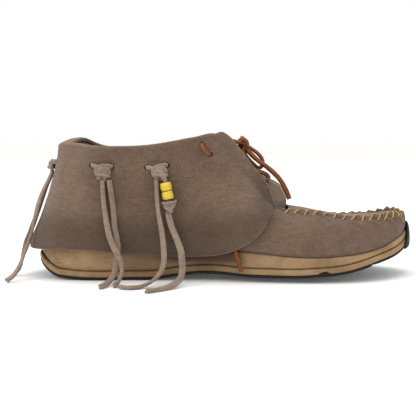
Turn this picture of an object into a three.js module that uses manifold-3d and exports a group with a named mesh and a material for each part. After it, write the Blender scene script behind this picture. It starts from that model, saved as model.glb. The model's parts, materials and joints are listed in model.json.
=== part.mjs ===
// A low suede moccasin for the right foot: stitched apron toe, folded collar skirt with tied
// thongs, two beads, a leather lace in a bow, and a foam sole with a rubber tread.
// Millimetres, +X to the toe, +Y to the inner side of the foot, +Z up, standing on z = 0.
import * as THREE from "three";
import { mergeVertices } from "three/addons/utils/BufferGeometryUtils.js";
import Module from "manifold-3d";

const wasm = await Module();
wasm.setup();

// ---------------------------------------------------------------- driving dimensions
const SOLE_LENGTH = 292;
const BALL_WIDTH = 102;
const COLLAR_HEIGHT = 105;
const SEAM_HEIGHT = 48;
const TOE_X = 147.5;
const HEEL_X = TOE_X - SOLE_LENGTH;

const SEAT_GAP = 0.3;
const LAYER_GAP = 0.45;
const FOAM_JOINT = 0.8;
const RUBBER_THICKNESS = 2;
const LOWER_THICKNESS = 4.3;
const BUMPER_THICKNESS = 2.2;
const BUMPER_TOP = 41;
const BUMPER_HALF_SPAN = 0.034;
const BEVEL_LENGTH = 22;
const BEVEL_RISE = 12;
const ARCH_START = -55;
const ARCH_END = 28;
const ARCH_RISE = 5;
const SPRING_LENGTH = 72;
const SPRING_RISE = 21;
const HEEL_LIP = 3.2;
const FLEX_RIB_X = 76;
const FLEX_NOTCH_X = 115;
const FLEX_WIDTH = 3;
const FLEX_DEPTH = 1.4;
const RIB_HEIGHT = 2;

const FEATHER_INSET = 2.5;
const LEATHER = 1.8;
const LINING = 1;
const COUNTER = 1;
const CUFF_THICKNESS = 2.2;
const CUFF_GAP = 3.2;
const CUFF_FLARE = 2.6;
const CUFF_FOLD = 3.4;
const BOARD_THICKNESS = 2;
const FOOTBED_THICKNESS = 4;
const COVER_THICKNESS = 1;
const SIDE_SEAM_HEIGHT = 53;
const SIDE_SEAM_REAR = -34;
const SIDE_SEAM_FRONT = 2;
const PLUG_REAR_X = 52;
const THREAD = 1.6;

const THONG = 3;
const LACE = 2.4;
const HOLE_CLEARANCE = 0.5;
const THONG_KNOT = [6.4, 4.4, 5.4];
const HEEL_KNOT = [5.6, 3.6, 4.6];
const BEAD_KNOT = [4.4, 3.4, 3.6];
const LACE_KNOT = [4.4, 4.2, 3.8];
const BEAD_DIAMETER = 8.5;
const BEAD_HEIGHT = 6.2;
const BEAD_BORE = 3.9;

const OUTER = -1;
const INNER = 1;
const RING = 60;
const COLUMNS = 72;

// ---------------------------------------------------------------- curves of the last
/** Smooth height over x through hand-set points, with finite-difference slopes. */
function profile(points) {
  const slope = points.map((point, k) => {
    const before = points[Math.max(0, k - 1)];
    const after = points[Math.min(points.length - 1, k + 1)];
    return (after[1] - before[1]) / (after[0] - before[0]);
  });
  return (x) => {
    const last = points.length - 1;
    const at = Math.min(Math.max(x, points[0][0]), points[last][0]);
    let k = 0;
    while (k < last - 1 && at > points[k + 1][0]) k += 1;
    const span = points[k + 1][0] - points[k][0];
    const s = (at - points[k][0]) / span;
    const rise = points[k + 1][1] - points[k][1];
    const ease = s * s * (3 - 2 * s);
    const bendIn = s * (1 - s) * (1 - s) * span * slope[k];
    const bendOut = s * s * (s - 1) * span * slope[k + 1];
    return points[k][1] + rise * ease + bendIn + bendOut;
  };
}

// Shares of the sole's length and the ball's width: plan of the sole, then of the upper's top
// line with its height above the floor, then how far its side swells and where its shoulder is.
// Rows run from the heel along the outer side to the toe tip and back along the inner side.
const low = (share) => share * SEAM_HEIGHT;
const high = (share) => share * COLLAR_HEIGHT;
const STATIONS = [
  [0.0, 0.0, 0.078, 0.0, high(0.95), -17, 0.62],
  [0.04, -0.265, 0.112, -0.2, high(0.95), -12, 0.62],
  [0.125, -0.363, 0.18, -0.285, high(0.93), -3, 0.6],
  [0.283, -0.353, 0.296, -0.295, high(0.935), -1, 0.6],
  [0.42, -0.358, 0.419, -0.29, high(0.985), -1, 0.6],
  [0.495, -0.392, 0.487, -0.28, high(1.0), 1, 0.6],
  [0.57, -0.446, 0.546, -0.28, high(0.82), 3, 0.7],
  [0.638, -0.48, 0.638, -0.318, low(1.14), 4, 0.84],
  [0.734, -0.5, 0.734, -0.318, low(1.035), 4, 0.86],
  [0.851, -0.45, 0.841, -0.313, low(0.985), 4, 0.86],
  [0.934, -0.313, 0.92, -0.215, low(0.985), 4, 0.84],
  [0.985, -0.118, 0.965, -0.08, low(1.005), 3.5, 0.8],
  [1.0, 0.069, 0.979, 0.075, low(1.015), 3.5, 0.8],
  [0.978, 0.255, 0.957, 0.2, low(1.005), 3.5, 0.8],
  [0.913, 0.412, 0.9, 0.29, low(0.985), 4, 0.84],
  [0.817, 0.48, 0.81, 0.315, low(0.985), 4, 0.86],
  [0.721, 0.5, 0.721, 0.318, low(1.035), 4, 0.86],
  [0.638, 0.46, 0.638, 0.314, low(1.14), 4, 0.84],
  [0.563, 0.392, 0.546, 0.27, high(0.8), 3, 0.7],
  [0.495, 0.343, 0.487, 0.272, high(0.955), 1, 0.6],
  [0.42, 0.304, 0.419, 0.27, high(0.945), 0, 0.6],
  [0.283, 0.304, 0.296, 0.27, high(0.905), 0, 0.6],
  [0.125, 0.343, 0.18, 0.265, high(0.905), -3, 0.6],
  [0.04, 0.255, 0.112, 0.19, high(0.94), -12, 0.62],
];

/** Station values at t, where 0 is the heel and 0.5 the toe tip. */
function stationAt(t) {
  const count = STATIONS.length;
  const place = (((t % 1) + 1) % 1) * count;
  const k = Math.floor(place);
  const s = place - k;
  const row = (n) => STATIONS[(k + n + count) % count];
  return STATIONS[0].map((_, column) => {
    const [a, b, c, d] = [-1, 0, 1, 2].map((n) => row(n)[column]);
    const bend = (2 * a - 5 * b + 4 * c - d) * s * s + (3 * b - a - 3 * c + d) * s * s * s;
    return 0.5 * (2 * b + (c - a) * s + bend);
  });
}

const lengthAt = (share) => HEEL_X + share * SOLE_LENGTH;
const planAt = (t) => {
  const row = stationAt(t);
  return new THREE.Vector2(lengthAt(row[0]), row[1] * BALL_WIDTH);
};

/** Outward direction of the sole's plan at t. */
function outwardAt(t) {
  const step = 1e-3;
  const along = planAt(t + step).sub(planAt(t - step)).normalize();
  return new THREE.Vector3(along.y, -along.x, 0);
}

/** Point of the sole's edge at t, moved in by inset, at height z. */
function edge(t, inset, z) {
  const plan = planAt(t);
  return new THREE.Vector3(plan.x, plan.y, z).addScaledVector(outwardAt(t), -inset);
}

/** Height of the tread's face over x: heel bevel, flat heel, arch, flat ball and toe spring. */
function treadZ(x) {
  const bevelStart = HEEL_X + BEVEL_LENGTH;
  const springStart = TOE_X - SPRING_LENGTH;
  if (x < bevelStart) return BEVEL_RISE * ((bevelStart - x) / BEVEL_LENGTH) ** 1.6;
  if (x > springStart) return SPRING_RISE * ((x - springStart) / SPRING_LENGTH) ** 2;
  if (x < ARCH_START || x > ARCH_END) return 0;
  const s = (x - ARCH_START) / (ARCH_END - ARCH_START);
  return ARCH_RISE * Math.sin(Math.PI * s) ** 2;
}

const MIDSOLE_HEIGHTS = [
  [0.0, 27.5], [0.12, 27], [0.32, 26], [0.53, 23], [0.66, 19.4], [0.74, 18.7], [0.84, 20.6],
  [0.91, 24.5], [0.965, 30.5], [1.0, 34],
];
const midsoleTop = profile(MIDSOLE_HEIGHTS.map(([share, z]) => [lengthAt(share), z]));

/** The three points that shape the upper's side at t: feather edge, shoulder and top. */
function rib(t) {
  const row = stationAt(t);
  const foot = edge(t, FEATHER_INSET, 0);
  foot.z = midsoleTop(foot.x) + SEAT_GAP;
  const top = new THREE.Vector3(lengthAt(row[2]), row[3] * BALL_WIDTH, row[4]);
  const shoulder = foot.clone().addScaledVector(outwardAt(t), row[5]);
  shoulder.x += (top.x - foot.x) * 0.3;
  shoulder.z = foot.z + (top.z - foot.z) * row[6];
  return [foot, shoulder, top];
}

/** Point of the upper's outer face: v runs from 0 at the feather edge to 1 at the top. */
function body(t, v) {
  const [foot, shoulder, top] = rib(t);
  return foot.multiplyScalar((1 - v) ** 2)
    .addScaledVector(shoulder, 2 * v * (1 - v))
    .addScaledVector(top, v * v);
}

/** Where on the side at t the height z lies, as v from 0 to 1. */
function heightShare(t, z) {
  let [below, above] = [0, 1];
  for (let k = 0; k < 24; k += 1) {
    const middle = (below + above) / 2;
    if (body(t, middle).z < z) below = middle;
    else above = middle;
  }
  return (below + above) / 2;
}

/** Outward normal of the upper's face. */
function bodyNormal(t, v) {
  const step = 1e-3;
  const around = body(t + step, v).sub(body(t - step, v));
  const lower = Math.max(0, v - step);
  const rise = body(t, Math.min(1, v + step)).sub(body(t, lower));
  return around.cross(rise).normalize();
}

/** Point of the upper at a depth under its face, level at the feather edge. */
function layer(t, v, depth) {
  const normal = bodyNormal(t, v);
  normal.z = Math.max(0, normal.z) * Math.min(1, 4 * v);
  return body(t, v).addScaledVector(normal.normalize(), -depth);
}

const mirrorT = (t) => 1 - t;

/** The t on the outer (side -1) or inner (side 1) flank whose plan lies at x. */
function flankT(x, side) {
  let [near, far] = [0, 0.5];
  for (let k = 0; k < 30; k += 1) {
    const middle = (near + far) / 2;
    if (planAt(side < 0 ? middle : mirrorT(middle)).x < x) near = middle;
    else far = middle;
  }
  return side < 0 ? (near + far) / 2 : mirrorT((near + far) / 2);
}

// ---------------------------------------------------------------- solids from sections
/** Triangles that close a loop whose first half faces its second half, like a ladder's rungs. */
function capTriangles(size) {
  const triangles = [];
  for (let j = 0; j + 1 <= size - 2 - j; j += 1) {
    const [a, b, c, d] = [j, j + 1, size - 2 - j, size - 1 - j];
    if (b < c) triangles.push([a, b, c], [a, c, d]);
    else triangles.push([a, b, d]);
  }
  return triangles;
}

/** Volume inside a list of triangles, negative where they face inwards. */
function signedVolume(points, triangles) {
  return triangles.reduce((sum, [a, b, c]) => {
    return sum + points[a].dot(points[b].clone().cross(points[c])) / 6;
  }, 0);
}

function meshOf(points, triangles) {
  const flip = signedVolume(points, triangles) < 0;
  const geometry = new THREE.BufferGeometry().setFromPoints(points);
  geometry.setIndex(triangles.flatMap(([a, b, c]) => (flip ? [a, c, b] : [a, b, c])));
  geometry.computeVertexNormals();
  return geometry;
}

/** Closed solid through loops of equally many points, closed by a cap at each end. */
function loft(loops) {
  const size = loops[0].length;
  const triangles = [];
  for (let i = 0; i < loops.length - 1; i += 1) {
    const here = i * size;
    const next = here + size;
    for (let j = 0; j < size; j += 1) {
      const up = (j + 1) % size;
      triangles.push([here + j, next + j, next + up], [here + j, next + up, here + up]);
    }
  }
  const last = (loops.length - 1) * size;
  capTriangles(size).forEach(([a, b, c]) => {
    triangles.push([a, b, c], [last + a, last + c, last + b]);
  });
  return meshOf(loops.flat(), triangles);
}

/** Closed solid through rings round the sole, with ribbed caps that follow the side view. */
function stack(rings) {
  const count = rings[0].length;
  const half = count / 2;
  const points = rings.flat();
  const triangles = [];
  for (let r = 0; r < rings.length - 1; r += 1) {
    for (let i = 0; i < count; i += 1) {
      const next = (i + 1) % count;
      const [low0, high0] = [r * count, (r + 1) * count];
      triangles.push([low0 + i, low0 + next, high0 + next], [low0 + i, high0 + next, high0 + i]);
    }
  }
  const cap = (base, flip) => {
    const put = (a, b, c) => {
      const [second, third] = flip ? [c, b] : [b, c];
      triangles.push([base + a, base + second, base + third]);
    };
    put(0, 1, count - 1);
    for (let i = 1; i < half - 1; i += 1) {
      put(i, i + 1, count - i - 1);
      put(i, count - i - 1, count - i);
    }
    put(half - 1, half, half + 1);
  };
  cap(0, true);
  cap((rings.length - 1) * count, false);
  return meshOf(points, triangles);
}

/** Evenly spaced values from one number to another, both ends included. */
function range(from, to, count) {
  return [...Array(count + 1).keys()].map((k) => from + ((to - from) * k) / count);
}

const turns = range(0, 1, RING).slice(0, RING);
const ring = (insetAt, heightAt) => turns.map((t) => {
  const point = edge(t, insetAt(t), 0);
  point.z = heightAt(point.x);
  return point;
});

function toSolid(geometry) {
  const bare = geometry.clone();
  bare.deleteAttribute("normal");
  bare.deleteAttribute("uv");
  const merged = mergeVertices(bare, 1e-4);
  return new wasm.Manifold(new wasm.Mesh({
    numProp: 3,
    vertProperties: new Float32Array(merged.attributes.position.array),
    triVerts: new Uint32Array(merged.index.array),
  }));
}

function toGeometry(solid) {
  const mesh = solid.getMesh();
  const geometry = new THREE.BufferGeometry();
  geometry.setAttribute("position", new THREE.BufferAttribute(mesh.vertProperties, 3));
  geometry.setIndex(new THREE.BufferAttribute(mesh.triVerts, 1));
  geometry.computeVertexNormals();
  return geometry;
}

const joined = (...pieces) => toGeometry(pieces.map(toSolid).reduce((all, next) => all.add(next)));
const cut = (piece, ...tools) => {
  return toGeometry(tools.map(toSolid).reduce((left, tool) => left.subtract(tool), toSolid(piece)));
};

// ---------------------------------------------------------------- materials and the group
const model = new THREE.Group();

function finish(colour, roughness) {
  return new THREE.MeshStandardMaterial({ color: colour, roughness, metalness: 0 });
}

const SUEDE = finish(0x897868, 0.95);
const STRAND = finish(0x9c8c7c, 0.95);
const LINING_HIDE = finish(0x7a5232, 0.7);
const FOAM = finish(0xc9ac82, 0.75);
const RUBBER = finish(0x2c2a25, 0.6);
const BOARD = finish(0xb9a88c, 0.9);
const STIFFENER = finish(0xcdc3ae, 0.8);
const LACE_HIDE = finish(0x8a4b1f, 0.55);
const COTTON = finish(0xcda564, 0.8);
const BEAD_GLASS = finish(0xe2c22e, 0.3);

function add(name, geometry, material) {
  const mesh = new THREE.Mesh(geometry, material);
  mesh.name = name;
  model.add(mesh);
  return mesh;
}

// ---------------------------------------------------------------- sole
/** A bar across the sole at x, shaped by points (distance along x, height). */
function crossBar(x, section) {
  const shape = new THREE.Shape(section.map(([along, z]) => new THREE.Vector2(along, z)));
  const bar = new THREE.ExtrudeGeometry(shape, { depth: 2 * BALL_WIDTH, bevelEnabled: false });
  bar.rotateX(Math.PI / 2);
  bar.translate(x, BALL_WIDTH, 0);
  return bar;
}

/** How much the foam cup stands in from the sole's edge: more behind the heel, over the lip. */
const cupInset = (t) => 0.8 + HEEL_LIP * Math.max(0, Math.cos(2 * Math.PI * t)) ** 6;

function ribSection(grow) {
  const half = FLEX_WIDTH / 2 + grow;
  const z = treadZ(FLEX_RIB_X);
  const top = z + RUBBER_THICKNESS + RIB_HEIGHT + grow;
  return [[-half, z + 1], [half, z + 1], [half * 0.6, top], [-half * 0.6, top]];
}

function makeOutsole() {
  const slab = stack([
    ring(() => 1.6, treadZ),
    ring(() => 0.3, (x) => treadZ(x) + RUBBER_THICKNESS / 2),
    ring(() => 0.3, (x) => treadZ(x) + RUBBER_THICKNESS),
  ]);
  const bumper = loft(range(-1, 1, 10).map((share) => {
    const t = 0.5 + share * BUMPER_HALF_SPAN;
    const bottom = treadZ(edge(t, 0, 0).x) + 0.4;
    const top = bottom + (BUMPER_TOP - bottom) * Math.sqrt(1 - 0.75 * share * share);
    const lean = (z) => -SEAT_GAP + 1.2 * Math.max(0, (z - 30) / (BUMPER_TOP - 30));
    const levels = [bottom, (bottom + top) / 2, top];
    const face = levels.map((z) => edge(t, lean(z) - BUMPER_THICKNESS, z));
    const back = levels.map((z) => edge(t, lean(z), z)).reverse();
    const root = edge(t, 3, 0);
    root.z = treadZ(root.x) + RUBBER_THICKNESS / 2;
    return [...face, ...back, root];
  }));
  const ribTop = treadZ(FLEX_RIB_X) + RUBBER_THICKNESS + RIB_HEIGHT;
  const ribBar = crossBar(FLEX_RIB_X, ribSection(0));
  const trim = stack([
    ring(() => 0.3, () => 0),
    ring(() => 0.3, () => ribTop + 1),
  ]);
  const ribPiece = toGeometry(toSolid(ribBar).intersect(toSolid(trim)));
  const notchZ = treadZ(FLEX_NOTCH_X);
  const notch = crossBar(FLEX_NOTCH_X, [
    [-FLEX_WIDTH, notchZ - 2], [FLEX_WIDTH, notchZ - 2], [0, notchZ + FLEX_DEPTH],
  ]);
  return cut(joined(slab, bumper, ribPiece), notch);
}

function makeLowerFoam() {
  const bottom = (x) => treadZ(x) + RUBBER_THICKNESS + SEAT_GAP;
  const slab = stack([
    ring(() => 0.3, bottom),
    ring(() => 0, (x) => bottom(x) + LOWER_THICKNESS / 2),
    ring(() => 0.4, (x) => bottom(x) + LOWER_THICKNESS),
  ]);
  return cut(slab, crossBar(FLEX_RIB_X, ribSection(SEAT_GAP)));
}

function makeUpperFoam() {
  const bottom = (x) => treadZ(x) + RUBBER_THICKNESS + SEAT_GAP + LOWER_THICKNESS + FOAM_JOINT;
  return stack([
    ring(cupInset, bottom),
    ring((t) => cupInset(t) - 0.3, (x) => (bottom(x) + midsoleTop(x)) / 2),
    ring((t) => cupInset(t) + 0.4, midsoleTop),
  ]);
}

/** A flat insert inside the upper, between two heights above the foam. */
function insert(below, thickness, insetBelow, insetAbove) {
  return stack([
    ring(() => insetBelow, (x) => midsoleTop(x) + below),
    ring(() => insetAbove, (x) => midsoleTop(x) + below + thickness),
  ]);
}

// ---------------------------------------------------------------- upper
/** Values of t from one to another that share the layers' common columns in between. */
function columns(from, to) {
  const first = Math.floor(from * COLUMNS) + 1;
  const last = Math.ceil(to * COLUMNS) - 1;
  const inner = range(first, last, last - first).map((k) => k / COLUMNS);
  const clear = 0.25 / COLUMNS;
  return [from, ...inner.filter((t) => t - from > clear && to - t > clear), to];
}

/** A strip of the upper between two depths, over t values, from vLow(t) to vHigh(t). */
function strip(ts, vLow, vHigh, rows, depthOut, depthIn) {
  return loft(ts.map((t) => {
    const shares = range(vLow(t), vHigh(t), rows);
    const face = shares.map((v) => layer(t, v, depthOut));
    const back = shares.map((v) => layer(t, v, depthIn)).reverse();
    return [...face, ...back];
  }));
}

/** Height of the seam where the vamp passes under the quarter, over x. */
function sideSeamZ(x) {
  const s = THREE.MathUtils.clamp((x - SIDE_SEAM_REAR) / (SIDE_SEAM_FRONT - SIDE_SEAM_REAR), 0, 1);
  const foot = midsoleTop(x) + SEAT_GAP;
  return foot + (SIDE_SEAM_HEIGHT - foot) * s;
}

const vampTop = (t) => heightShare(t, Math.min(sideSeamZ(planAt(t).x), rib(t)[2].z));
const quarterFoot = (t) => {
  const x = planAt(t).x;
  return x < SIDE_SEAM_REAR ? 0 : heightShare(t, sideSeamZ(x) + 2 * SEAT_GAP);
};

function makeVamp() {
  const front = PLUG_REAR_X - 10;
  const top = (t) => (planAt(t).x > front ? 1 : vampTop(t));
  const ts = columns(flankT(SIDE_SEAM_REAR + 3, OUTER), flankT(SIDE_SEAM_REAR + 3, INNER));
  return strip(ts, () => 0, top, 5, 0, LEATHER);
}

const QUARTER_FRONT = 35.5;

function makeQuarter() {
  const ts = columns(flankT(QUARTER_FRONT, INNER) - 1, flankT(QUARTER_FRONT, OUTER));
  return strip(ts, quarterFoot, () => 1, 5, 0, LEATHER);
}

const liningDepth = LEATHER + COUNTER + 2 * LAYER_GAP;
const BOARD_TOP = 2 * SEAT_GAP + BOARD_THICKNESS;

function makeLining() {
  const front = 12;
  const ts = columns(flankT(front, INNER) - 1, flankT(front, OUTER));
  const foot = (t) => heightShare(t, midsoleTop(planAt(t).x) + SEAT_GAP + 1);
  return strip(ts, foot, () => 1, 5, liningDepth, liningDepth + LINING);
}

function makeCounter() {
  const reach = -78;
  const ts = columns(flankT(reach, INNER) - 1, flankT(reach, OUTER));
  const depth = LEATHER + LAYER_GAP;
  const top = (t) => heightShare(t, 62 - 14 * (Math.abs(t) / ts.at(-1)) ** 2);
  return strip(ts, () => 0, top, 4, depth, depth + COUNTER);
}

/** Point of the plug at length share s (0 rear, 1 toe) and width share a (0 outer, 1 inner). */
function plugPoint(s, a, sink) {
  const rear = flankT(PLUG_REAR_X, -1);
  const t = rear + (0.5 - rear) * s;
  const outer = rib(t)[2];
  const inner = rib(mirrorT(t))[2];
  const span = inner.clone().sub(outer);
  const inset = Math.min(0.3, (SEAT_GAP + LEATHER) / span.length());
  const share = inset + (1 - 2 * inset) * a;
  const crown = 4.2 - 1.4 * s;
  const point = outer.clone().addScaledVector(span, share);
  const fall = Math.min(1, span.length() / 40);
  point.z += crown * fall * 4 * a * (1 - a) - sink;
  return point;
}

const PLUG_REACH = 0.84;

function makePlug() {
  const columns = 9;
  const ease = (s) => PLUG_REACH * Math.sin((s * Math.PI) / 2);
  const loops = range(0, 1, 16).map((s) => {
    const shares = range(0, 1, columns);
    const at = ease(s);
    const face = shares.map((a) => plugPoint(at, a, 0));
    const back = shares.map((a) => plugPoint(at, a, LEATHER)).reverse();
    return [...face, ...back];
  });
  return loft(loops);
}

const TONGUE_LINE = new THREE.CatmullRomCurve3([
  [PLUG_REAR_X - 0.6, 0, 57.6], [51.2, 0, 61.5], [49.3, 0, 65.5], [46.4, 0, 70.3], [42.3, 0, 73.4],
  [36, 0, 76], [28, 0, 80.5], [18, 0, 89.5], [9, 0, 100.5],
].map((point) => new THREE.Vector3(...point)), false, "centripetal");
const TONGUE_THICKNESS = 2.2;
const tongueHalfWidth = profile([[0, 30.5], [0.2, 28], [0.45, 22], [1, 21]]);
const tongueDrop = profile([[0, 4.2], [0.14, 8], [0.3, 13], [1, 10]]);

function tonguePoint(s, a, depth) {
  const centre = TONGUE_LINE.getPointAt(s);
  const along = TONGUE_LINE.getTangentAt(s);
  const out = new THREE.Vector3(along.z, 0, -along.x);
  const reach = depth + tongueDrop(s) * a * a;
  const point = centre.addScaledVector(out, -reach);
  point.y = a * tongueHalfWidth(s);
  return point;
}

function makeTongue() {
  const loops = range(0, 1, 14).map((s) => {
    const shares = range(-1, 1, 10);
    const face = shares.map((a) => tonguePoint(s, a, 0));
    const back = shares.map((a) => tonguePoint(s, a, TONGUE_THICKNESS)).reverse();
    return [...face, ...back];
  });
  return loft(loops);
}

// ---------------------------------------------------------------- cuff
const CUFF_TIP_X = 39;
const hemZ = profile([
  [-151, 21.4], [-136, 23], [-109, 24], [-68, 21], [-38, 19], [-9, 19.4], [4, 22], [12, 25.4], [21, 30.5],
  [29, 38], [35, 47], [CUFF_TIP_X, 56],
]);
const frontEdgeZ = profile([
  [-2, 111], [3, 110], [8, 106], [17, 95], [27, 82], [33, 75], [37, 67], [CUFF_TIP_X, 58.5],
]);
const INNER_SIDE_DROP = 4;

/** Height of the cuff's upper edge: the fold over the collar, then the front edge. */
function cuffTopZ(t, x, side) {
  const fold = rib(t)[2].z + CUFF_FOLD;
  if (x < -4) return fold;
  const edgeZ = frontEdgeZ(x) - (side > 0 ? INNER_SIDE_DROP * (1 - x / CUFF_TIP_X) : 0);
  const s = THREE.MathUtils.clamp((x + 4) / 6, 0, 1);
  return fold + (edgeZ - fold) * s;
}

/** How far the cuff stands off the upper at x, for a drop share from 0 at its top to 1 at its hem. */
function cuffStand(x, drop) {
  const hug = THREE.MathUtils.clamp((x - 12) / 24, 0, 1);
  return CUFF_GAP * (1 - 0.45 * hug) + CUFF_FLARE * (1 - hug) * drop ** 1.4;
}

/** Point of the cuff's outer face at height z, moved in by depth. */
function cuffPoint(t, z, depth, hem, top) {
  const point = body(t, heightShare(t, z));
  const drop = THREE.MathUtils.clamp((top - z) / (top - hem), 0, 1);
  point.addScaledVector(outwardAt(t), cuffStand(point.x, drop) + CUFF_THICKNESS - depth);
  point.z = z;
  return point;
}

function cuffEdges(t) {
  const side = t < 0 || t > 0.5 ? 1 : -1;
  let hem = hemZ(planAt(t).x);
  let top = cuffTopZ(t, rib(t)[2].x, side);
  for (let k = 0; k < 8; k += 1) {
    hem = hemZ(cuffPoint(t, hem, 0, hem, top).x);
    top = cuffTopZ(t, cuffPoint(t, top, 0, hem, top).x, side);
  }
  return [hem, Math.max(top, hem + 2.5)];
}

/** One section of the cuff: the skirt outside, and the fold that sits on the collar's edge. */
function cuffSection(t) {
  const [hem, top] = cuffEdges(t);
  const collar = rib(t)[2];
  const folded = THREE.MathUtils.clamp(1 - (collar.x + 6) / 8, 0, 1);
  const reach = CUFF_THICKNESS + (CUFF_GAP + liningDepth + LINING) * folded + 0.2;
  const under = Math.min(collar.z + SEAT_GAP + 6 * (1 - folded), top - 0.8);
  const levels = range(hem, top, 7);
  const face = levels.map((z) => cuffPoint(t, z, 0, hem, top));
  const edgeTop = [cuffPoint(t, top, reach, hem, top)];
  const edgeUnder = [cuffPoint(t, Math.max(under, hem + 1.4), reach, hem, top)];
  const backLevels = range(Math.max(under, hem + 1.2), hem, 6);
  const back = backLevels.map((z) => cuffPoint(t, z, CUFF_THICKNESS, hem, top));
  return [...face, ...edgeTop, ...edgeUnder, ...back];
}

const cuffFrontT = flankT(CUFF_TIP_X - 0.4, -1);
const cuffFrontInnerT = flankT(CUFF_TIP_X - 0.4, 1) - 1;

/** A right-handed frame at a point: Y out of the surface, Z up along it. */
function frameAt(origin, out, lift) {
  const along = out.clone().cross(lift).normalize();
  const up = along.clone().cross(out).normalize();
  return new THREE.Matrix4().makeBasis(along, out, up).setPosition(origin);
}

/** The frame on the cuff's outer face at t and z. */
function cuffFrame(t, z) {
  const step = 4e-3;
  const at = (place, height) => cuffPoint(place, height, 0, ...cuffEdges(place));
  const around = at(t + step, z).sub(at(t - step, z));
  const rise = at(t, z + 1).sub(at(t, z - 1));
  return frameAt(at(t, z), around.cross(rise).normalize(), rise.normalize());
}

/** The frame on the cuff's outer (side -1) or inner (side 1) flank at x and z. */
function cuffSpot(x, z, side) {
  let [near, far] = [0, side < 0 ? cuffFrontT : -cuffFrontInnerT];
  for (let k = 0; k < 24; k += 1) {
    const middle = (near + far) / 2;
    const t = -side * middle;
    if (cuffPoint(t, z, 0, ...cuffEdges(t)).x < x) near = middle;
    else far = middle;
  }
  return cuffFrame(-side * near, z);
}

/** A hole through the cuff for a thong or lace, at (along, up) in a spot's own frame. */
function cuffHole(spot, along, up, diameter) {
  const radius = diameter / 2 + HOLE_CLEARANCE;
  const tool = new THREE.CylinderGeometry(radius, radius, 4 * CUFF_THICKNESS, 8);
  tool.translate(along, -CUFF_THICKNESS / 2, up);
  return tool.applyMatrix4(spot);
}

// ---------------------------------------------------------------- thongs, beads and lace
/** A round bar between two points. */
function bar(from, to, diameter) {
  const along = to.clone().sub(from);
  const rod = new THREE.CylinderGeometry(diameter / 2, diameter / 2, along.length(), 6);
  rod.applyQuaternion(new THREE.Quaternion().setFromUnitVectors(new THREE.Vector3(0, 1, 0), along.normalize()));
  return rod.translate(...from.clone().add(to).multiplyScalar(0.5).toArray());
}

const BEHIND = -CUFF_THICKNESS - SEAT_GAP - 1.1;
const OUTSIDE = SEAT_GAP + THONG / 2;

/** An oval lump round a centre, in a spot's frame. */
function lump(size, centre) {
  return new THREE.SphereGeometry(1, 10, 7).scale(...size).translate(...centre);
}

/** A thong's loop in a spot's frame: out of both holes into the knot, and joined behind the cuff. */
function thongLoop(holes, size) {
  const knot = lump(size, [0, 2 * SEAT_GAP + size[1], 0]);
  const meet = new THREE.Vector3(0, OUTSIDE + 1.2, 0);
  const bars = holes.flatMap(([along, up]) => {
    const mouth = new THREE.Vector3(along, OUTSIDE + 0.6, up);
    return [bar(mouth.clone().setY(OUTSIDE), meet, THONG), bar(mouth, mouth.clone().setY(BEHIND), THONG - 0.6)];
  });
  const [first, second] = holes.map(([along, up]) => new THREE.Vector3(along, BEHIND, up));
  return joined(knot, ...bars, bar(first, second, 1.8));
}

/** A lace's stitch in a spot's frame: out of the upper hole, down, and in at the lower one. */
function laceStitch(holes) {
  const [upper, lower] = holes.map(([along, up]) => new THREE.Vector3(along, SEAT_GAP + LACE / 2, up));
  const legs = [upper, lower].map((mouth) => {
    return bar(mouth.clone().setY(mouth.y + 0.6), mouth.clone().setY(BEHIND), LACE - 0.4);
  });
  return joined(bar(upper, lower, LACE), ...legs);
}

const THONG_HOLES = [[-7.5, 3.5], [6.5, 5]];
const HEEL_HOLES = [[-5.5, 3], [5.5, 3]];
const LACE_HOLES = [[-3, 4], [2.5, -3.5]];
const THONG_Z = 82;
const HEEL_THONG_Z = 85;
const REAR_THONG_X = -88;
const MID_THONG_X = -46;
const LACE_STITCH_X = -11;
const LACE_STITCH_Z = 98.5;

/** Holes given toward the toe, turned into a flank's own frame. */
const facing = (side, holes) => holes.map(([toToe, up]) => [side * toToe, up]);

const thongs = [
  { name: "rear_outer", spot: cuffSpot(REAR_THONG_X, THONG_Z, OUTER), side: OUTER },
  { name: "mid_outer", spot: cuffSpot(MID_THONG_X, THONG_Z, OUTER), side: OUTER },
  { name: "rear_inner", spot: cuffSpot(REAR_THONG_X, THONG_Z, INNER), side: INNER },
  { name: "mid_inner", spot: cuffSpot(MID_THONG_X, THONG_Z, INNER), side: INNER },
].map((thong) => ({ ...thong, holes: facing(thong.side, THONG_HOLES), size: THONG_KNOT }));
thongs.push({ name: "heel", spot: cuffFrame(0, HEEL_THONG_Z), holes: HEEL_HOLES, size: HEEL_KNOT });

const stitches = [
  { name: "outer", side: OUTER, z: LACE_STITCH_Z },
  { name: "inner", side: INNER, z: LACE_STITCH_Z - INNER_SIDE_DROP },
].map(({ name, side, z }) => ({
  name, spot: cuffSpot(LACE_STITCH_X, z, side), holes: facing(side, LACE_HOLES),
}));

function makeCuff() {
  const ts = [
    ...range(cuffFrontInnerT, cuffFrontInnerT + 0.03, 4),
    ...range(cuffFrontInnerT + 0.04, cuffFrontT - 0.04, 40),
    ...range(cuffFrontT - 0.03, cuffFrontT, 4),
  ];
  const skirt = loft(ts.map(cuffSection));
  const pierced = (places, diameter) => places.flatMap(({ spot, holes }) => {
    return holes.map(([along, up]) => cuffHole(spot, along, up, diameter));
  });
  return cut(skirt, ...pierced(thongs, THONG), ...pierced(stitches, LACE));
}

/** A free length of thong or lace along hand-set points. */
function strand(points, diameter, stepShare = 2.6) {
  const path = new THREE.CatmullRomCurve3(points.map((point) => new THREE.Vector3(...point)), false, "centripetal");
  const section = new THREE.Shape().absarc(0, 0, diameter / 2, 0, 2 * Math.PI);
  const steps = Math.max(4, Math.round(path.getLength() / (stepShare * diameter)));
  return new THREE.ExtrudeGeometry(section, { steps, curveSegments: 4, extrudePath: path, bevelEnabled: false });
}

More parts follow.
